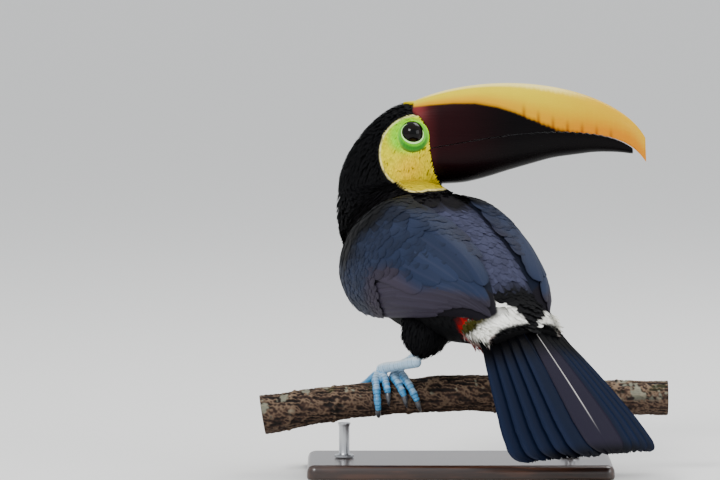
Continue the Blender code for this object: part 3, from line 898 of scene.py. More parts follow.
def makeTrunkCoat():
    row, col, place = spread("trunk", 24)
    along = onTrunk(place)[0]
    kept = ~underWing(place) & (along > -76)
    trunk = lay("trunk", row[kept], col[kept], roundVane, 34, 0.45 + 0.55 * smooth(-78, -58, along[kept]))
    row, col, place = spread("lowerBack", 27)
    along, left, turn = onTrunk(place)
    kept = lowerBackWedge(along, left) & (turn < 100)
    wedge = lay("lowerBack", row[kept], col[kept], roundVane, 37)
    addCoat("coat_trunk", [trunk, wedge], plumageColour, velvetFeather, "black_plumage", ownShare=0.35)


def makeRumpCoat():
    # loose white feathers beside the wedge, puffed out below the wings, and the long ones of the vent
    row, col, place = spread("rump", 25)
    along, left, turn = onTrunk(place)
    under = (turn > 100) & (along < -64)
    wingTop = np.interp(along, (-91, -72, -45), (34, 26, 22))
    wingLow = np.interp(along, (-91, -72, -45), (58, 82, 104))
    covered = (turn > wingTop) & (turn < wingLow) & (along > -89)
    kept = ~(lowerBackWedge(along, left) & (turn < 100)) & ~under & ~covered
    puffed = kept & (turn > np.interp(along, (-91, -72, -45), (66, 90, 112))) & (along > -90)
    size = 0.4 + 0.6 * smooth(0.7 * rowTimes, 2.7 * rowTimes, row[kept])
    rump = lay("rump", row[kept], col[kept], looseVane, 35, size)
    flank = lay("rump", row[puffed], col[puffed], looseVane, 39, lift=3.2)
    size = 0.5 + 0.5 * smooth(0.7 * rowTimes, 2.5 * rowTimes, row[under])
    vent = lay("vent", row[under], col[under], looseVane, 38, size)
    addCoat("coat_rump", [rump, flank, vent], plumageColour, paleFeather, "white_plumage", ownShare=0.75)


makeHeadCoat()
makeTrunkCoat()
makeRumpCoat()


# The thighs' loose feathers

thighs = {
    "left": ((-25, -20, 66, 19), (-27, -28, 53, 18), (-29, -33, 43, 15), (-30.5, -36, 37, 7.5)),
    "right": ((0, 9, 62, 15), (-13, 2, 51, 10), (-22, -3, 45, 8), (-26, -6, 41, 5.5)),
}


def thighColour(points):
    return np.broadcast_to(linear(plumage["black"]), points.shape)


def makeThighs():
    for name, rows in thighs.items():
        rings = ovalTube([(x, y, z, 0.3, 1, 0.2, r, r, r) for x, y, z, r in rows], 7, 12)
        surface = makeSurface(rings, True, 6, 6)
        row, col = scatter(surface, 0, 34, coatLook["thigh"]["spacing"], 26)
        lot = layVanes(surface, row, col, looseVane, coatLook["thigh"], 36, way=1)
        addCoat(f"coat_thigh_{name}", [lot], thighColour, velvetFeather, "black_plumage")


makeThighs()


# Wings

wingShape = {
    # distance along the trunk: angles of the upper and lower edge from the back, thickness, lower flare
    62: (66, 104, 3, 0),
    54: (44, 134, 10, 5),
    36: (30, 146, 16, 10),
    -8: (20, 128, 15, 4),
    -45: (18, 110, 12, 1),
    -72: (22, 88, 9, 0),
    -91: (31, 62, 2.5, 0),
}
wingStart, wingEnd = max(wingShape), min(wingShape)
wingGrid, wingTimes = (13, 7), (6, 8)
wingLook = {
    "shaft": "#4a4a5c",
    "greater": {"spacing": 6.6, "length": 24.0, "halfWidth": 6.6, "vary": 0.12, "stray": 3, "lift": 0.15,
                "sink": 1.1, "curl": 0.25, "thick": 0.2, "bend": 3},
    "lesser": {"spacing": 3.9, "length": 14.0, "halfWidth": 3.8, "vary": 0.12, "stray": 4, "lift": 0.12,
               "sink": 0.9, "curl": 0.2, "thick": 0.13, "bend": 3},
    # start and end as distance along the trunk and share from the upper to the lower edge; half width, height
    "quills": [
        *(((17, 0.97 - 0.035 * k), (-58 - 5.5 * k, 0.955 - 0.078 * k), 5.8, -1.3 + 0.1 * k)
          for k in range(7)),
        *(((4 - 3 * k, 0.82 - 0.05 * k), (-60 - 5 * k, 0.84 - 0.11 * k), 7.0, -0.9 + 0.1 * k)
          for k in range(6)),
        *(((14 - 4 * k, 0.58 - 0.10 * k), (-42 - 10.5 * k + 0.7 * k * k, 0.66 - 0.12 * k), 10.0,
           -0.3 + 0.1 * k) for k in range(5)),
    ],
}


def wingSurface(side):
    # the wing's outer face: the body's oval pushed out by 0.2 + 0.8 sqrt(1 - (2e - 1)^2) of its thickness,
    # and by the flare times e^5 at the lower edge
    keys = sorted(wingShape)
    along = np.linspace(wingStart, wingEnd, wingGrid[0])
    columns = zip(*(wingShape[key] for key in keys))
    top, low, depth, flare = (np.interp(along, keys, column)[:, None] for column in columns)
    places, lefts, ups, sizes = tubeFrames(spineRows(), spineSteps)
    spineAlong = (places - trunkAt) @ trunkAxes[0]
    reach = int(np.argmax(spineAlong > 75))
    at = np.interp(along, spineAlong[:reach], np.arange(reach))
    place, left, up, size = (
        np.stack([np.interp(at, np.arange(len(c)), c[:, n]) for n in range(3)], -1)[:, None]
        for c in (places, lefts, ups, sizes))
    e = np.linspace(0, 1, wingGrid[1])[None]
    angle = np.radians(top + (low - top) * e) * side
    bulge = depth * (0.2 + 0.8 * np.sqrt(np.maximum(0, 1 - (2 * e - 1) ** 2)))
    grow = bulge * (1 - 0.35 * e) + flare * e**5 + 0.8
    tall = np.where(np.cos(angle) > 0, size[..., 1], size[..., 2]) + grow
    across = (np.sin(angle) * (size[..., 0] + grow))[..., None]
    rings = place + across * left + (np.cos(angle) * tall)[..., None] * up
    return makeSurface(rings, False, *wingTimes, outwardFrom=place.mean(0))


def quill(rows, cols):
    # a flat vane as a closed sheet: the grid's upper face, its lower face, and quads round the rim
    a, b = np.meshgrid(np.linspace(0, 1, rows), np.linspace(-1, 1, cols), indexing="ij")
    count = rows * cols
    top = gridFaces(rows, cols)
    rim = np.concatenate([
        np.arange(cols),
        cols * np.arange(2, rows + 1) - 1,
        count - cols + np.arange(cols - 2, -1, -1),
        cols * np.arange(rows - 2, 0, -1),
    ])
    after = np.roll(rim, -1)
    sides = np.stack([rim, rim + count, after + count, after], -1)
    return a, b, np.concatenate([top, top[:, ::-1] + count, sides[:, ::-1]])


def onBothFaces(values):
    return np.tile(values.reshape(-1, values.shape[-1]), (2, 1))


quillGrid = quill(17, 11)


def layQuill(surface, start, end, halfWidth, height, seed, rise=0.4):
    # one long feather from start to end, (row, column) on the surface: its half width grows to 0.35 of the
    # way and rounds off at the tip as sqrt(1 - ((a - 0.8) / 0.2)^2.2), and a thin raised shaft runs down it
    a, b, faces = quillGrid
    rng = np.random.default_rng(seed)
    a = 1 - (1 - a) ** 1.25
    rounding = np.sqrt(np.clip(1 - ((a - 0.80) / 0.203).clip(0) ** 2.2, 0.02, 1))
    taper = (0.5 + 0.5 * smooth(0, 0.35, a)) * rounding
    web = np.where(b > 0, 0.7, 1.0)
    row, col = start[0] + (end[0] - start[0]) * a, start[1] + (end[1] - start[1]) * a
    rowStep, colStep = nearest(surface["rowStep"], row, col), nearest(surface["colStep"], row, col)
    downRow, downCol = (end[0] - start[0]) * rowStep.mean(), (end[1] - start[1]) * colStep.mean()
    length = math.hypot(downRow, downCol)
    nick = 0.05 * np.sin(a * 70 + rng.uniform(0, 6)) * np.abs(b) ** 6
    aside = halfWidth * taper * b * web * (1 + nick)
    rows, cols = row - aside * downCol / length / rowStep, col + aside * downRow / length / colStep
    lower = height - 0.9 * smooth(0.5, 0, a) + rise * a - 0.5 * b**2
    shaft = 0.16 * bell(b / 0.08) * (1 - 0.7 * a)
    points = np.concatenate([onSurface(surface, rows, cols, level).reshape(-1, 3)
                             for level in (lower + shaft, lower - 0.4)])
    line = bell(b / 0.07) * 0.1
    edge = smooth(0.7, 1.0, np.abs(b)) * 0.35
    line, edge = (np.tile(one.ravel(), 2) for one in (line, edge))
    colours = wingColour(points * 0.5 + points.mean(0) * 0.5) * (1 - edge)[:, None]
    marks = np.stack([aside, a * length, np.full_like(a, rng.uniform(0, 1))], -1)
    return {"points": points, "faces": faces, "colours": towards(colours, wingLook["shaft"], line),
            "marks": onBothFaces(marks), "bakeUv": onBothFaces(bakePatch(surface, *start, a, b))}


def onWing(along, edge):
    # row and column on the wing's surface for a distance along the trunk and a share of the way down the wing
    rows, cols = ((count - 1) * times for count, times in zip(wingGrid, wingTimes))
    return (wingStart - along) / (wingStart - wingEnd) * rows, edge * cols


def makeWings():
    for name, side in (("left", 1), ("right", -1)):
        surface = wingSurface(side)
        quills = [layQuill(surface, onWing(*start), onWing(*end), half, height, 40 + number)
                  for number, (start, end, half, height) in enumerate(wingLook["quills"])]
        addFeathers(f"quills_wing_{name}", quills, vanedFeather, "slate_plumage", 40)
        row, col = scatter(surface, 9, 45, wingLook["greater"]["spacing"], 50)
        along, _, turn = onTrunk(onSurface(surface, row, col))
        kept = (turn < np.interp(along, (-40, -10, 20, 50), (45, 82, 98, 120))) & (col > 0.5)
        greater = layVanes(surface, row[kept], col[kept], roundVane, wingLook["greater"], 52, way=1)
        row, col = scatter(surface, -1, 26, wingLook["lesser"]["spacing"], 51)
        along, _, turn = onTrunk(onSurface(surface, row, col))
        kept = (along > np.interp(turn, (30, 90, 110), (34, 22, 4))) & (col < 46.5)
        lesser = layVanes(surface, row[kept], col[kept], roundVane, wingLook["lesser"], 53, way=1)
        addCoat(f"coat_wing_{name}", [greater, lesser], wingColour, vanedFeather, "slate_plumage",
                ownShare=0.4, tipShade=0.62)


makeWings()


# Tail

tailLook = {
    "length": 114,
    "feathers": 10,
    "halfSpread": 70,
    "halfWidth": 18,
    "thick": 0.6,
    "navy": "#081124",
    "navyEdge": "#0c1830",
    # near black, used as painted shade at each feather's root and tip
    "root": "#020204",
    "plum": "#1e1b29",
    "shaft": "#121c30",
    "topShaft": "#fbf7f2",
}
tailRoot = tubeFrames(spineRows(), spineSteps)[0][0] - tailAxes[0] * 4 - tailAxes[1] * 2


def tailFeather(number, rows=44, cols=19):
    # the same swing, spread and droop as the solids, with a thin raised shaft, nicks where the barbs part and
    # a frayed tip; a is the share of the length and b the place across the web
    half = tailLook["feathers"] // 2
    side, rank = (-1 if number < half else 1), number % half
    rng = np.random.default_rng(70 + number)
    layer = 4 - 1.8 * rank - (0.9 if side > 0 else 0)
    swing = math.radians(side * (1.5 + 2.2 * rank))
    start, length = side * (5.5 + 7.4 * rank), tailLook["length"] - 2 * rank
    b = np.linspace(-1, 1, cols)
    a, b = np.meshgrid(np.linspace(-0.12, 1, rows), np.sign(b) * np.abs(b) ** 1.7, indexing="ij")
    wide = tailLook["halfWidth"] * (0.42 + 0.58 * np.clip(a / 0.7, 0, 1) ** 0.8)
    wide = wide * np.sqrt(np.maximum(0.03, 1 - np.maximum(0, (a - 0.84) / 0.165) ** 2.4))
    fray = 0.002 - 0.012 * np.abs(rng.normal(size=cols)) + 0.003 * np.sin(np.linspace(0, 40, cols) + rank)
    reach = length * (a + smooth(0.93, 1, a) * fray)
    nick = 0.006 * np.sin(a * 60 + rng.uniform(0, 6, 1)) * np.abs(b) ** 5 * smooth(0.2, 0.5, a)
    across = start + reach * math.sin(swing) + wide * b * (1 - nick)
    drop = 8 * (across / tailLook["halfSpread"]) ** 2 + 4 * a**2
    lift = layer - drop + 0.05 * np.sin(b * 9 + a * 4 + rank) * smooth(0.1, 0.5, a)
    shaft = 0.4 * bell(b / 0.045) * (1 - 0.75 * a)
    top, bottom = lift + tailLook["thick"] / 2 * (1 - b**2) + shaft, lift - tailLook["thick"] / 2
    backs = -reach * math.cos(swing)
    points = np.concatenate([(tailRoot + np.stack([backs, across, level], -1) @ tailAxes).reshape(-1, 3)
                             for level in (top, bottom)])
    marks = np.stack([wide * b, reach, np.full_like(a, rng.uniform(0, 1))], -1)
    uv = np.stack([0.05 + 0.09 * number + 0.03 * b, 0.1 + 0.8 * a], -1)
    line = bell(b / 0.017) * (smooth(0.85, 0.45, a) if number == 0 else 0.6)
    web, edge, shaftColour = ("plum", "plum", "topShaft") if number == 0 else ("navy", "navyEdge", "shaft")
    paint = layered(
        tailLook, web,
        (edge, smooth(0.6, 1, np.abs(b))),
        # painted shade: each feather goes near black at its root and at its tip
        ("root", smooth(0.22, 0.0, a)),
        ("root", smooth(0.87, 0.98, a) * (0.9 if rank < 3 else 0.5)),
        (shaftColour, line)).reshape(-1, 3)
    name = f"tail_{'right' if side < 0 else 'left'}_{rank + 1}"
    # the lower faces are painted 0.7 times as bright as the upper: painted shade under each feather
    made = addMesh("vane_" + name, points, quill(rows, cols)[2], tailVane, "tail_plumage",
                   colours=np.concatenate([paint, paint * 0.7]), marks=onBothFaces(marks),
                   bakeUv=onBothFaces(uv))
    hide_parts(name)


for number in range(tailLook["feathers"]):
    tailFeather(number)
print("tail done")


# Bill

billLook = {
    "rows": 260,
    "cols": 110,
    "ridge": "#d2ba00",
    "ridgeHighlight": "#fff0a4",
    "yellow": "#cc9c00",
    "orange": "#c67a00",
    "boundary": "#6e2606",
    "maroon": "#1c0407",
    "black": "#030102",
    "baseHighlight": "#7d2f30",
    "stripes": (72.4, 11.2),  # where one lies, and their distance
    # height of the border between yellow and black, by distance from the corner of the mouth
    "border": ((-12, 31.5), (1, 33.1), (18, 34.4), (35, 34.4), (52, 31.5), (66, 27.2), (78, 22.1), (95, 15.4),
               (103, 13.1), (120, 10.3), (137, 6.8), (151, 2.6), (159, -2.5), (167, -14)),
}


def billMaterial():
    # keratin sheath over bone: smooth and half glossy, with faint growth lines along it and a few fine scuffs
    made, tree = newMaterial("horn_sheath")
    lines = addNode(tree, "TexNoise", {"Vector": placeOf(tree, (30, 420, 420)), "Scale": 1.0, "Detail": 3.0})
    cloud = addNode(tree, "TexNoise", {"Vector": placeOf(tree), "Scale": 55.0, "Detail": 4.0})
    mottle = between(tree, cloud.outputs["Fac"], 0.9, 1.08)
    lines = lines.outputs["Fac"]
    principled(tree, scaled(tree, paintOf(tree), mottle), between(tree, lines, 0.2, 0.36), 1.54,
               {"Specular IOR Level": 0.07, "Normal": bumped(tree, lines, 0.25, 0.25)})
    return made


def billColour(x, z, upper):
    # yellow above the border, from lemon on the ridge to orange at the tip, then maroon to black below; a
    # pale painted highlight runs along the top of the ridge, and a pink painted highlight lies at the base
    border = np.interp(x, *zip(*billLook["border"]))
    gap = z - border + (0.3 * np.sin(x * 1.7) + 0.2 * np.sin(x * 0.6)) * smooth(50, 90, x)
    upTo = gap / np.maximum(culmen(x) - border, 2)
    tip, height = smooth(60, 150, x), smooth(0, 22, gap)
    at, apart = billLook["stripes"]
    stripes = (0.5 + 0.5 * np.cos(2 * math.pi * (x - at) / apart)) ** 7
    stripes = stripes * smooth(62, 70, x) * smooth(146, 138, x) * smooth(11, 2, gap)
    yellow = layered(
        billLook, "yellow",
        ("orange", np.clip(tip * (1.05 - 0.9 * height) + 0.25 * (1 - height), 0, 1)),
        ("ridge", smooth(0.15, 0.75, upTo) * (1 - 0.85 * tip)),
        # a pale painted highlight along the top of the ridge
        ("ridgeHighlight", smooth(0.84, 0.97, upTo) * smooth(-14, 6, x) * smooth(128, 90, x) * 0.55),
        ("boundary", stripes * 0.6),
        ("boundary", smooth(3.0, 0.5, gap) * smooth(-20, 40, x) * 0.4))
    # a pink painted highlight at the bill's base, strongest at the top, fainter below
    baseHighlight = smooth(1, -9, x) * smooth(14, 31, z) + 0.25 * smooth(9, -3, x) * smooth(-26, -5, z)
    dark = layered(
        billLook, "black",
        ("maroon", smooth(70, 5, x) * smooth(-26, 2, z)),
        ("baseHighlight", 0.6 * baseHighlight))
    return towards(dark, yellow, smooth(-0.9, 0.9, gap) * upper)


def makeBillHalf(name, start, length, lift, tip, horn):
    # a half turn of the bill's surface from an angle on, closed by a flat underside
    rows, cols = billLook["rows"], billLook["cols"]
    angle = np.linspace(start, start + math.pi, cols)
    share = (1 - (1 - np.linspace(0, 1, rows)) ** 1.5) * 0.996
    x, y, z = billSurface(share[:, None], angle[None], length, lift)
    # a shallow groove under the ridge, and blunt saw teeth on the closing edge
    away = np.minimum(angle - start, start + math.pi - angle)[None]
    tooth = 0.3 * bell(away / 0.05) * np.cos(2 * math.pi * x / 5.5) * smooth(70, 95, x)
    y = y * (1 - 0.02 * bell((away - 1.1) / 0.12))
    z = z + tooth * smooth(150, 120, x)
    # behind its edge the horn is tucked under the feathers, but for a wedge that lies over the forehead
    back = np.linspace(9, 0.3, 10)[:, None]
    across = np.abs(angle - math.pi / 2)[None]
    wedge = smooth(0.03, 0.0, across - 0.28 * (1 - back / 8.5)) * (back < 8.4)
    col = angle / (2 * math.pi) * bodyCols
    row = advance(body, np.full(cols, bodyRows - 1.0), col, -back.T.repeat(cols, 0)).T
    rise = 0.6 * wedge - (0.6 + 0.5 * back) * (1 - wedge)
    tucked = onSurface(body, row, np.broadcast_to(col, row.shape), rise)
    outer = np.concatenate([(tucked - billAt) @ headAxes.T, np.stack([x, y, z], -1)])
    flat = np.linspace(0, 1, 14)[1:-1][None, :, None]
    ring = np.concatenate([outer, outer[:, -1:] * (1 - flat) + outer[:, :1] * flat], axis=1)
    points = billAt + ring @ headAxes
    nose = billAt + np.array([length, 0, tip + lift]) @ headAxes
    points, faces = capped(points, points[0].mean(0) + [2.0, 0, 0], nose)
    local = np.concatenate([ring.reshape(-1, 3), [[0, 0, 0], [length, 0, tip]]])
    colours = billColour(local[:, 0], local[:, 2], name == "bill_upper")
    # painted shade under the feathers: the tucked horn is painted black, but for the wedge
    shadeUnderFeathers = np.zeros(ring.shape[:2])
    shadeUnderFeathers[: len(back), :cols] = (1 - wedge) * (back > 1.2)
    shadeUnderFeathers[:, cols:] = shadeUnderFeathers[:, :1]
    colours[:-2] = towards(colours[:-2], billLook["black"], shadeUnderFeathers.ravel())
    slot = "yellow_bill" if name == "bill_upper" else "dark_bill"
    made = addMesh("horn_" + name, points, faces, horn, slot, colours=colours, sharp=50)
    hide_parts(name)


def makeBill():
    horn = billMaterial()
    makeBillHalf("bill_upper", 0, bodyShape["billLength"], 0.35, -12, horn)
    makeBillHalf("bill_lower", math.pi, 157, -0.35, -3.5, horn)
    print("bill done")


makeBill()


# Eyes with their bare skin

eyeLook = {
    "radius": 9.6,
    "cornea": 0.3,
    "moved": -2.6,  # outwards
    "opening": (7.7, 6.0),
    "openingTilt": -18.0,  # degrees, front end down
    "skinOffset": (1.0, -2.2),
    "skinRadius": 12.8,
    # the skin's section: share of the way from the opening to the rim, and height above the head
    "section": ((0.0, -3.2), (0.0, -0.6), (0.03, 0.75), (0.1, 1.3), (0.2, 1.15), (0.27, 0.55), (0.36, 0.75),
                (0.47, 0.95), (0.6, 0.6), (0.72, 0.4), (0.86, 0.0), (1.0, -1.0), (0.8, -2.6), (0.4, -3.2)),
    "iris": "#0c0604",
    "pupil": "#010101",
    "bead": "#c4f59a",
    # greenDeep and the fold's colour are painted shade below the plump roll of skin
    "green": "#5cb400",
    "greenDeep": "#237804",
    "fade": "#a6e000",
    "foldShadow": "#5a6a08",
}


def eyeMaterial():
    # a wet cornea over a near-black iris: sharp highlights
    made, tree = newMaterial("wet_eye")
    principled(tree, paintOf(tree), 0.05, 1.376, {"Specular IOR Level": 0.25})
    return made


def bareSkinMaterial():
    # bare skin: satin, with fine pebbling
    made, tree = newMaterial("bare_skin")
    pebbles = addNode(tree, "TexVoronoi", {"Vector": placeOf(tree), "Scale": 1300.0}).outputs["Distance"]
    principled(tree, paintOf(tree), 0.42, 1.45,
               {"Specular IOR Level": 0.35, "Normal": bumped(tree, pebbles, 0.3, 0.15)})
    return made


def headPlace(side, forward, up):
    # finds row and column on the head's side for a place forward and up in the head's axes, by Newton steps
    # from the nearest grid point; the other side and the neck are put out of reach
    points = onHead(body["points"])
    near = np.abs(points[..., 0] - forward.mean()) + np.abs(points[..., 2] - up.mean())
    onNeck = np.arange(bodyRows) < bodyShape["neckRing"] * rowTimes
    near = near + 1000 * (points[..., 1] * side < 8) + 1000 * onNeck[:, None]
    first = np.unravel_index(np.argmin(near), near.shape)
    row, col = (np.full_like(forward, start, float) for start in first)
    for _ in range(8):
        here, below, beside = (onHead(onSurface(body, row + down, col + along))
                               for down, along in ((0, 0), (0.5, 0), (0, 0.5)))
        a, b = (below - here)[..., 0] * 2, (beside - here)[..., 0] * 2
        c, d = (below - here)[..., 2] * 2, (beside - here)[..., 2] * 2
        det = a * d - b * c
        det = np.where(np.abs(det) < 1e-4, 1e-4, det)
        dx, dz = forward - here[..., 0], up - here[..., 2]
        row = row + np.clip((d * dx - b * dz) / det, -4, 4)
        col = col + np.clip((a * dz - c * dx) / det, -4, 4)
    return row, col


def makeBall(name, side, finish):
    # the ball, with a cornea that swells by exp(-(angle / 0.5)^2) round the pupil
    polar, turn = np.linspace(0.02, math.pi - 0.02, 40), roundTurn(48)
    radius = eyeLook["radius"] + eyeLook["cornea"] * bell(polar / 0.5)
    aim = unit(np.array([0.18, side, 0.03]))
    across = unit(np.cross(aim, [0, 0, 1.0]))
    ring = np.cos(turn)[None, :, None] * across + np.sin(turn)[None, :, None] * np.cross(across, aim)
    grid = (np.cos(polar) * radius)[:, None, None] * aim + (np.sin(polar) * radius)[:, None, None] * ring
    middle = np.array([eyeAt["forward"], side * (eyeAt["out"] + eyeLook["moved"]), eyeAt["up"]])
    points, faces = capped(headAt + (middle + grid) @ headAxes)
    polar = np.concatenate([np.repeat(polar, len(turn)), [0, math.pi]])
    colours = towards(eyeLook["pupil"], eyeLook["iris"], smooth(0.36, 0.42, polar) * smooth(1.0, 0.8, polar))
    ball = addMesh("ball_eye_" + name, points, faces, finish, "eye_brown", colours=colours)
    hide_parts("eye_" + name)


def makeEyeSkin(name, side, finish):
    # a ring of skin whose section rises to the lid's bead, dips, and runs out under the feathers; it is plump
    # below the eye, and the upper lid stands over the ball
    section = splineWeights(len(eyeLook["section"]), 4, True) @ np.array(eyeLook["section"])
    t, rise = section[:, :1], section[:, 1:]
    turn = roundTurn(120)[None]
    tilt = math.radians(eyeLook["openingTilt"])
    ovalX, ovalZ = eyeLook["opening"][0] * np.cos(turn - tilt), eyeLook["opening"][1] * np.sin(turn - tilt)
    innerX = ovalX * math.cos(tilt) - ovalZ * math.sin(tilt)
    innerZ = ovalX * math.sin(tilt) + ovalZ * math.cos(tilt)
    outerX = eyeLook["skinOffset"][0] + eyeLook["skinRadius"] * np.cos(turn)
    outerZ = eyeLook["skinOffset"][1] + eyeLook["skinRadius"] * np.sin(turn)
    placeX = eyeAt["forward"] + innerX + (outerX - innerX) * t
    placeZ = eyeAt["up"] + innerZ + (outerZ - innerZ) * t
    row, col = headPlace(side, placeX.ravel(), placeZ.ravel())
    wrinkle = 0.16 * np.sin(turn * 17 + 3 * np.sin(turn * 3)) * smooth(0.2, 0.5, t) * smooth(1.0, 0.7, t)
    plump = 0.75 * smooth(-0.2, 1.0, -np.sin(turn)) - 0.45 * smooth(0.0, 1.0, np.sin(turn))
    plump = 1 + plump * smooth(0.25, 0.4, t) * smooth(1.0, 0.8, t)
    upperLid = 1.3 * smooth(-0.1, 1.0, np.sin(turn)) * smooth(0.40, 0.14, t)
    points = onSurface(body, row, col, (rise * plump + wrinkle + upperLid).ravel())
    t, down = (np.broadcast_to(one, placeX.shape).ravel() for one in (t, -np.sin(turn)))
    # deeper green and the fold's colour lower down: painted shade beneath the plump roll of skin
    rim = towards(eyeLook["fade"], eyeLook["foldShadow"], smooth(0.2, 0.9, down))
    colours = towards(eyeLook["green"], eyeLook["greenDeep"], smooth(-0.3, 0.9, down) * smooth(0.3, 0.5, t))
    colours = towards(colours, rim, smooth(0.66, 0.95, t))
    colours = towards(colours, eyeLook["bead"], smooth(0.24, 0.16, t) * smooth(-0.01, 0.05, t))
    faces = gridFaces(len(section), turn.size, closedRows=True, closedCols=True)
    lid = addMesh("bare_skin_eye_" + name, points, faces, finish, "green_skin", colours=colours)
    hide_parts("orbital_ring_" + name)


def makeEyes():
    wet, bare = eyeMaterial(), bareSkinMaterial()
    for name, side in (("left", 1), ("right", -1)):
        makeBall(name, side, wet)
        makeEyeSkin(name, side, bare)
    print("eyes done")


makeEyes()


# Legs, feet and claws

footLook = {
    "voxel": 0.5,
    "softening": 4,
    "scuteGap": 2.6,
    "scuteDepth": 0.42,
    "blue": "#3a84b4",
    "groove": "#08263c",
    "pale": "#d9e6ea",
    "claw": "#1b1c20",
    "clawPale": "#4a4c52",
    "branch": {-150: (-13, 15.5), -110: (-6.5, 13.8), -61: (-1, 13.2), 0: (3.5, 14.3), 50: (2, 14),
               110: (0, 13.6), 158: (0, 13.6)},
    "tarsi": {"left": ((-32, -38, 31), (-61, 0, 21.5)), "right": ((-29, -8, 35), (-48, 1, 22))},
    "feet": {"left": -61, "right": -47.5},
    # where each toe starts and ends along X, and where it starts and ends round the branch
    "toes": {
        "left": ((-57, -54.5, 32, 74), (-60, -70, -30, -104), (-67, -90, -28, -112), (-64, -62, 32, 118)),
        "right": ((-49, -42, 32, 84), (-51, -59, -32, -104), (-44, -50, -32, -112), (-42, -32, 32, 100)),
    },
    "steps": 90,
    "toeRadius": 3.1,
    "clawRadius": 1.8,
}


def besideBranch(x, degrees, clear):
    keys = sorted(footLook["branch"])
    height, radius = (np.interp(x, keys, [footLook["branch"][k][n] for k in keys]) for n in range(2))
    turn = np.radians(degrees)
    return np.stack([x, -np.sin(turn) * (radius + clear), height + np.cos(turn) * (radius + clear)], -1)


def scaleMaterial():
    # horny scutes on a leg: satin, pale powder blue, darker in the grooves between them
    made, tree = newMaterial("horny_scales")
    cells = addNode(tree, "TexVoronoi", {"Vector": placeOf(tree), "Scale": 900.0}, feature="DISTANCE_TO_EDGE")
    principled(tree, paintOf(tree), 0.42, 1.54,
               {"Coat Weight": 0.1, "Coat Roughness": 0.3,
                "Normal": bumped(tree, cells.outputs["Distance"], 0.35, 0.2)})
    return made


def clawMaterial():
    # claw horn: dark grey keratin, half glossy
    made, tree = newMaterial("claw_keratin")
    noise = addNode(tree, "TexNoise", {"Vector": placeOf(tree), "Scale": 260.0}).outputs["Fac"]
    principled(tree, blended(tree, noise, footLook["claw"], footLook["clawPale"]), 0.32, 1.54,
               {"Coat Weight": 0.2, "Coat Roughness": 0.2})
    return made


def limbTube(path, sides=20):
    # a round tube through x, y, z and radius, whose ends are rounded off
    path = np.asarray(path, float)
    rows = [(*p[:3], 0.3, 1, 0.4, p[3], p[3], p[3]) for p in path]
    rings = ovalTube(rows, 48, sides)
    share = np.linspace(0, 1, 48)[:, None, None]
    rounding = np.sqrt(np.clip(np.minimum(share / 0.06, (1 - share) / 0.06), 0.04, 1))
    middles = rings.mean(1, keepdims=True)
    return middles + (rings - middles) * rounding


def footPaths(name):
    # the shank from the heel down, then each toe from the sole round the branch, as places and radii
    heel, foot = (np.array(p, float) for p in footLook["tarsi"][name])
    way = unit(foot - heel)
    paths = [[(*(heel - way * 1.5), 4.4), (*(heel + way * 8), 4.2), (*(heel * 0.5 + foot * 0.5), 3.7),
              (*(foot - way * 3), 4.2), (*(foot + way * 1.5 - [0, 0, 1.0]), 4.3)]]
    sole = foot * 0.65 + besideBranch(np.array(footLook["feet"][name]), 0.0, 3.2) * 0.35
    for x0, x1, start, stop in footLook["toes"][name]:
        path = [(*sole, 3.4)]
        for share in np.linspace(0, 1, 7):
            radius = footLook["toeRadius"] * (1.02 - 0.22 * share + 0.07 * math.cos(share * 6 * math.pi))
            x, turn = x0 + (x1 - x0) * share, start + (stop - start) * share
            path.append((*besideBranch(np.array(x), turn, radius + 0.7), radius))
        paths.append(path)
    return paths


def makeFoot(name, finish):
    paths = footPaths(name)
    points, faces, shift = [], [], 0
    for path in paths:
        tube, parts = capped(limbTube(path))
        points.append(tube)
        for part in turnedOut(tube, parts):
            faces += (part + shift).tolist()
        shift += len(tube)
    places, normals, quads = remeshed(toWorld(np.concatenate(points)), faces, footLook)
    # scutes: a saw wave along the nearest limb, strongest on its outer side
    fine = [through(path, footLook["steps"])[:, :3] for path in paths]
    alongs = np.concatenate([np.cumsum(np.linalg.norm(np.gradient(line, axis=0), axis=1)) for line in fine])
    middles = np.concatenate(fine)
    nearestAt = np.concatenate([np.linalg.norm(block[:, None] - middles[None], axis=2).argmin(1)
                                for block in np.array_split(places, 60)])
    phase = (alongs[nearestAt] / footLook["scuteGap"]) % 1
    step = phase**0.7 * smooth(1.0, 0.86, phase)
    inner = besideBranch(places[:, 0], 0.0, -14.0) * [1, 0, 1]
    outward = smooth(-0.4, 0.4, np.einsum("ij,ij->i", normals, unit(places - inner)))
    places = places + normals * (footLook["scuteDepth"] * (step - 0.6) * (0.25 + 0.75 * outward))[:, None]
    onTarsus = nearestAt < footLook["steps"]
    blue = linear(footLook["blue"]) * (1 + 0.12 * ripple(places, 6, 8)[:, None])
    # paler on faces turned up, a painted highlight; the tarsus is also paler all over
    colours = layered(
        footLook, blue,
        ("pale", smooth(0.2, 0.95, normals[:, 2]) * 0.5 + 0.42 * onTarsus),
        ("groove", smooth(0.35, 0.0, step) * 0.8))
    foot = addMesh("scaled_foot_" + name, places, quads, finish, "blue_scales", colours=colours)
    toes = (f"toe_{name}_{k}" for k in range(1, 5))
    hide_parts(f"tarsus_{name}", f"foot_{name}", *toes)
    print("foot", name, "has", len(quads) * 2, "triangles")


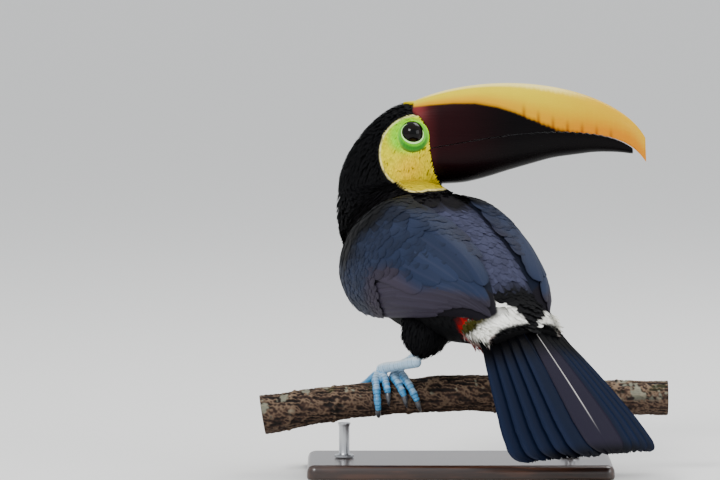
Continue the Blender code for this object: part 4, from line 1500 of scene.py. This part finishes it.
def makeClaws(name, finish):
    # each claw is a curved cone, oval in section, that starts inside the toe's last joint
    for k, (x0, x1, _, stop) in enumerate(footLook["toes"][name], 1):
        begin, turn = x1 - (x1 - x0) * 0.02, stop - math.copysign(2, stop)
        share = np.linspace(0, 1, 12)
        radius = footLook["clawRadius"] * (1.12 - 0.98 * share**1.3)
        place = besideBranch(begin + (x1 - x0) * 0.28 * share, turn + math.copysign(38, stop) * share,
                             radius + 0.5 + 1.6 * np.sin(math.pi * share))
        rows = [(*p, 1, 0, 0, r, r, r * 1.3) for p, r in zip(place, radius)]
        claw = addMesh(f"curved_claw_{name}_{k}", *capped(ovalTube(rows, 24, 14)), finish, "claw_horn")
        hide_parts(f"claw_{name}_{k}")


def makeFeet():
    scales, keratin = scaleMaterial(), clawMaterial()
    for name in ("left", "right"):
        makeFoot(name, scales)
        makeClaws(name, keratin)
    print("feet done")


makeFeet()


# The cut branch

perchLook = {
    "rows": 620,
    "cols": 132,
    "bark": "#38261d",
    "crest": "#86705a",
    "crack": "#0d0604",
    "lichenAndLight": "#8f8f7c",
    "moss": "#3c431f",
    "wood": "#b59468",
    "heart": "#8a6338",
    "scars": (-128, -96, -38, 27, 71, 119),
}


def barkMaterial():
    # rough bark: matt, brown in the hollows and weathered grey on the ridges, with lichen and a little moss;
    # the ridges and lichen are lighter on top and the lichen spreads towards the ends, as painted light
    made, tree = newMaterial("rough_bark")
    grit = addNode(tree, "TexNoise", {"Vector": placeOf(tree, (0.45, 1, 1)), "Scale": 900.0, "Detail": 6.0})
    grit = grit.outputs["Fac"]
    principled(tree, scaled(tree, paintOf(tree), between(tree, grit, 0.65, 1.3)), 0.88, 1.5,
               {"Specular IOR Level": 0.3, "Normal": bumped(tree, grit, 0.6, 0.5)})
    return made


def sawnMaterial():
    # sawn end grain: dry and matt, with pores
    made, tree = newMaterial("sawn_end_grain")
    pores = addNode(tree, "TexVoronoi", {"Vector": placeOf(tree), "Scale": 1500.0}).outputs["Distance"]
    principled(tree, paintOf(tree), 0.8, 1.5, {"Normal": bumped(tree, pores, 0.3, 0.2)})
    return made


def makeBark():
    # radius and height as in the solid, then bark: ridged noise stretched along the branch, rings of old
    # bud scars, and cracks
    rows, cols = perchLook["rows"], perchLook["cols"]
    path = [(x, 0, height, 0, 0, 1, *[radius] * 3) for x, (height, radius) in footLook["branch"].items()]
    rings = ovalTube(path, rows, cols)
    middles = rings.mean(1, keepdims=True)
    out = unit(rings - middles)
    stretched = rings * [0.11, 1, 1]
    ridged = 1 - np.abs(ripple(stretched, 5.0, 12) + 0.5 * ripple(rings, 3.5, 19)) * 1.7
    fine = ripple(stretched, 1.9, 13)
    x = rings[..., 0]
    scars = sum(bell((x - at + 2.5 * ripple(rings, 18, 15)) / 1.5) for at in perchLook["scars"])
    rise = 0.55 * ridged + 0.22 * fine + 0.7 * ripple(rings, 38, 14) + 0.9 * scars - 0.8
    share = np.linspace(0, 1, rows)[:, None]
    ends = smooth(0, 0.004, share) * smooth(1, 0.996, share)
    rings = rings + out * (rise * ends - 0.5 * (1 - ends))[..., None]
    # more pale lichen towards both ends: partly lichen, partly painted light on the lit ends
    patch = ripple(rings, 16, 16) + 0.5 * ripple(rings, 4, 18) + 0.7 * smooth(60, 120, x)
    patch = patch + 0.25 * smooth(-90, -140, x)
    # the crest and the lichen are stronger on faces turned up: painted light
    colour = layered(
        perchLook, "crack",
        ("bark", smooth(-0.9, 1.0, ridged + 0.5 * fine)),
        ("crest", smooth(0.35, 1.1, ridged + 0.6 * scars) * (0.35 + 0.5 * smooth(-0.2, 1, out[..., 2]))),
        ("lichenAndLight", smooth(0.8, 1.2, patch) * smooth(-0.3, 0.5, out[..., 2]) * 0.6),
        ("moss", smooth(0.5, 1.0, ripple(rings, 21, 17)) * smooth(0.2, 0.9, out[..., 2]) * 0.35))
    points, faces = capped(rings)
    colours = np.concatenate([colour.reshape(-1, 3), [linear(perchLook["wood"])] * 2])
    bark = addMesh("bark_perch", points, faces, barkMaterial(), "bark", colours=colours, sharp=60)
    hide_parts("perch")
    return rings


def makeSawnFace(name, edge, way, finish):
    # a sawn face: a dished disc with a saw's faint steps and its yearly rings
    middle, out = edge.mean(0), np.array([way, 0, 0])
    t = np.linspace(0.02, 0.985, 26)[:, None, None]
    disc = middle + (edge - middle) * t + out * (0.25 + 0.08 * np.cos(t * 50))
    points, faces = capped(np.concatenate([disc, middle + (edge - middle) * t[::-1] + out * -0.4]))
    age = np.concatenate([t.ravel(), t[::-1].ravel()])[:, None] * np.ones(len(edge))
    year = (0.5 + 0.5 * np.cos(age * 70)) ** 2
    paint = towards(perchLook["heart"], perchLook["wood"], smooth(0.0, 0.35, age) * 0.7 + 0.3)
    paint = towards(paint * (1 - 0.35 * year[..., None]), perchLook["bark"], smooth(0.88, 0.93, age))
    paint = np.concatenate([paint.reshape(-1, 3), [linear(perchLook["heart"])] * 2])
    addMesh("sawn_face_" + name, points, faces, finish, "bark", colours=paint, sharp=50)


def makePerch():
    rings, wood = makeBark(), sawnMaterial()
    makeSawnFace("left", rings[0], -1, wood)
    makeSawnFace("right", rings[-1], 1, wood)
    print("perch done")


makePerch()


# Stand

standLook = {
    "wood": "#4a2a18",
    "woodDark": "#24120a",
    "grainGap": 3.2,
    "steel": "#b9bbbe",
    "corner": 7.0,
    # radius and height of the rod's profile; the heights of the last rows count down from its top
    "rodFoot": ((0.2, 0), (7.0, 0), (7.4, 0.4), (7.4, 1.8), (7.0, 2.2), (4.4, 2.6), (4, 3.4)),
    "rodTop": ((4, -3), (4.3, -2.2), (4.8, -0.6), (4.8, 0), (0.2, 0)),
}


def varnishedWood():
    # dark varnished walnut: long grain a few millimetres apart, under a satin varnish
    made, tree = newMaterial("varnished_walnut")
    long = placeOf(tree, (0.12, 1, 1))
    warp = addNode(tree, "TexNoise", {"Vector": long, "Scale": 60.0, "Detail": 4.0}).outputs["Fac"]
    grain = addNode(tree, "TexWave", {"Vector": long, "Scale": 0.314 / (standLook["grainGap"] * mm),
                                      "Distortion": 9.0, "Detail": 3.0, "Detail Scale": 1.4},
                    wave_type="BANDS", bands_direction="Y").outputs["Fac"]
    mixed = addNode(tree, "Math", {0: grain, 1: warp}, operation="MULTIPLY").outputs[0]
    principled(tree, blended(tree, mixed, standLook["woodDark"], standLook["wood"]), 0.35, 1.5,
               {"Coat Weight": 0.4, "Coat Roughness": 0.15, "Normal": bumped(tree, mixed, 0.08, 0.1)})
    return made


def brushedSteel():
    # brushed stainless steel: bright metal, with fine lines round the rod
    made, tree = newMaterial("brushed_stainless_steel")
    lines = addNode(tree, "TexNoise", {"Vector": placeOf(tree, (1, 1, 30)), "Scale": 160.0, "Detail": 2.0})
    principled(tree, rgba(standLook["steel"]), between(tree, lines.outputs["Fac"], 0.22, 0.42), 1.5,
               {"Metallic": 1.0})
    return made


def makeBase():
    # a rounded rectangle carried up a profile with soft edges
    low, high = (fromWorld(corner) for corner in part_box("stand_base"))
    middle, size, corner = (low + high) / 2, high - low, standLook["corner"]
    profile = np.array([(-5.0, 0.0), (-1.5, 0.0), (0.0, 1.5), (0.0, size[2] - 5), (-1.5, size[2] - 1.5),
                        (-5.0, size[2]), (-8.0, size[2])])
    profile = splineWeights(len(profile), 5, False) @ profile
    radius = corner + np.clip(profile[:, :1], 0.5 - corner, 0)
    turn = roundTurn(160)
    x = middle[0] + np.sign(np.cos(turn)) * (size[0] / 2 - corner) + np.cos(turn) * radius
    y = middle[1] + np.sign(np.sin(turn)) * (size[1] / 2 - corner) + np.sin(turn) * radius
    z = low[2] + np.clip(profile[:, 1:], 0, size[2]) + 0 * x
    points, faces = capped(np.stack([x, y, z], -1))
    base = addMesh("varnished_base", points, faces, varnishedWood(), "stand_wood", sharp=40)
    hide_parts("stand_base")


def makeRod(number, finish):
    # a turned rod: a low collar on the base, a plain shank, and a small cup under the branch
    low, high = (fromWorld(corner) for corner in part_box(f"stand_rod_{number}"))
    middle, reach = (low + high) / 2, high[2] - low[2]
    top = [(radius, reach + down) for radius, down in standLook["rodTop"]]
    profile = np.array([*standLook["rodFoot"], *top])
    turn = roundTurn(48)
    x, y = middle[0] + profile[:, :1] * np.cos(turn), middle[1] + profile[:, :1] * np.sin(turn)
    points, faces = capped(np.stack([x, y, low[2] + profile[:, 1:] + 0 * x], -1))
    rod = addMesh(f"turned_rod_{number}", points, faces, finish, "rod_steel", sharp=35)
    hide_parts(f"stand_rod_{number}")


def makeStand():
    makeBase()
    steel = brushedSteel()
    for number in (1, 2):
        makeRod(number, steel)
    print("stand done")


makeStand()


# Floor, light and camera

studio = {
    "floor": "#e6e5e2",
    "floorSize": 60.0,
    "world": "#eef1f5",
    "worldStrength": 1.15,
    "aim": (0, 0, 0.17),
    # place, size and power of each lamp
    "lamps": {
        "key": ((-1.1, -1.6, 1.7), 0.8, 44),
        "top": ((0.8, 0.8, 1.9), 1.0, 26),
        "fill": ((1.8, -1.1, 0.8), 1.2, 18),
    },
    "camera": (-0.076, -4.54889207, 0.49546274),
    "tilt": 4.0,
    "lens": 300.0,
    "sensor": 36.0,
}


def makeFloor():
    made, tree = newMaterial("pale_floor")
    principled(tree, rgba(studio["floor"]), 0.85, 1.5, {})
    size = studio["floorSize"]
    mesh = bpy.data.meshes.new("floor")
    corners = [(-size, -size, 0), (size, -size, 0), (size, size, 0), (-size, size, 0)]
    mesh.from_pydata(corners, [], [(0, 1, 2, 3)])
    mesh.materials.append(made)
    floor = newObject("floor", mesh)


def makeLights():
    world = bpy.data.worlds.new("studio")
    world.use_nodes = True
    world.node_tree.nodes["Background"].inputs["Color"].default_value = rgba(studio["world"])
    world.node_tree.nodes["Background"].inputs["Strength"].default_value = studio["worldStrength"]
    bpy.context.scene.world = world
    for name, (place, size, power) in studio["lamps"].items():
        data = bpy.data.lights.new(name, "AREA")
        data.size, data.energy = size, power
        lamp = newObject(name, data)
        lamp.location = place
        x, y, z = np.array(studio["aim"]) - place
        lamp.rotation_euler = (math.atan2(math.hypot(x, y), -z), 0, math.atan2(y, x) - math.pi / 2)


def makeCamera():
    data = bpy.data.cameras.new("camera")
    data.lens, data.sensor_width = studio["lens"], studio["sensor"]
    data.clip_end = 200
    camera = newObject("camera", data)
    camera.location = studio["camera"]
    camera.rotation_euler = (math.radians(90 - studio["tilt"]), 0, 0)
    bpy.context.scene.camera = camera


def makeStudio():
    makeFloor()
    makeLights()
    makeCamera()
    print("studio done")


makeStudio()
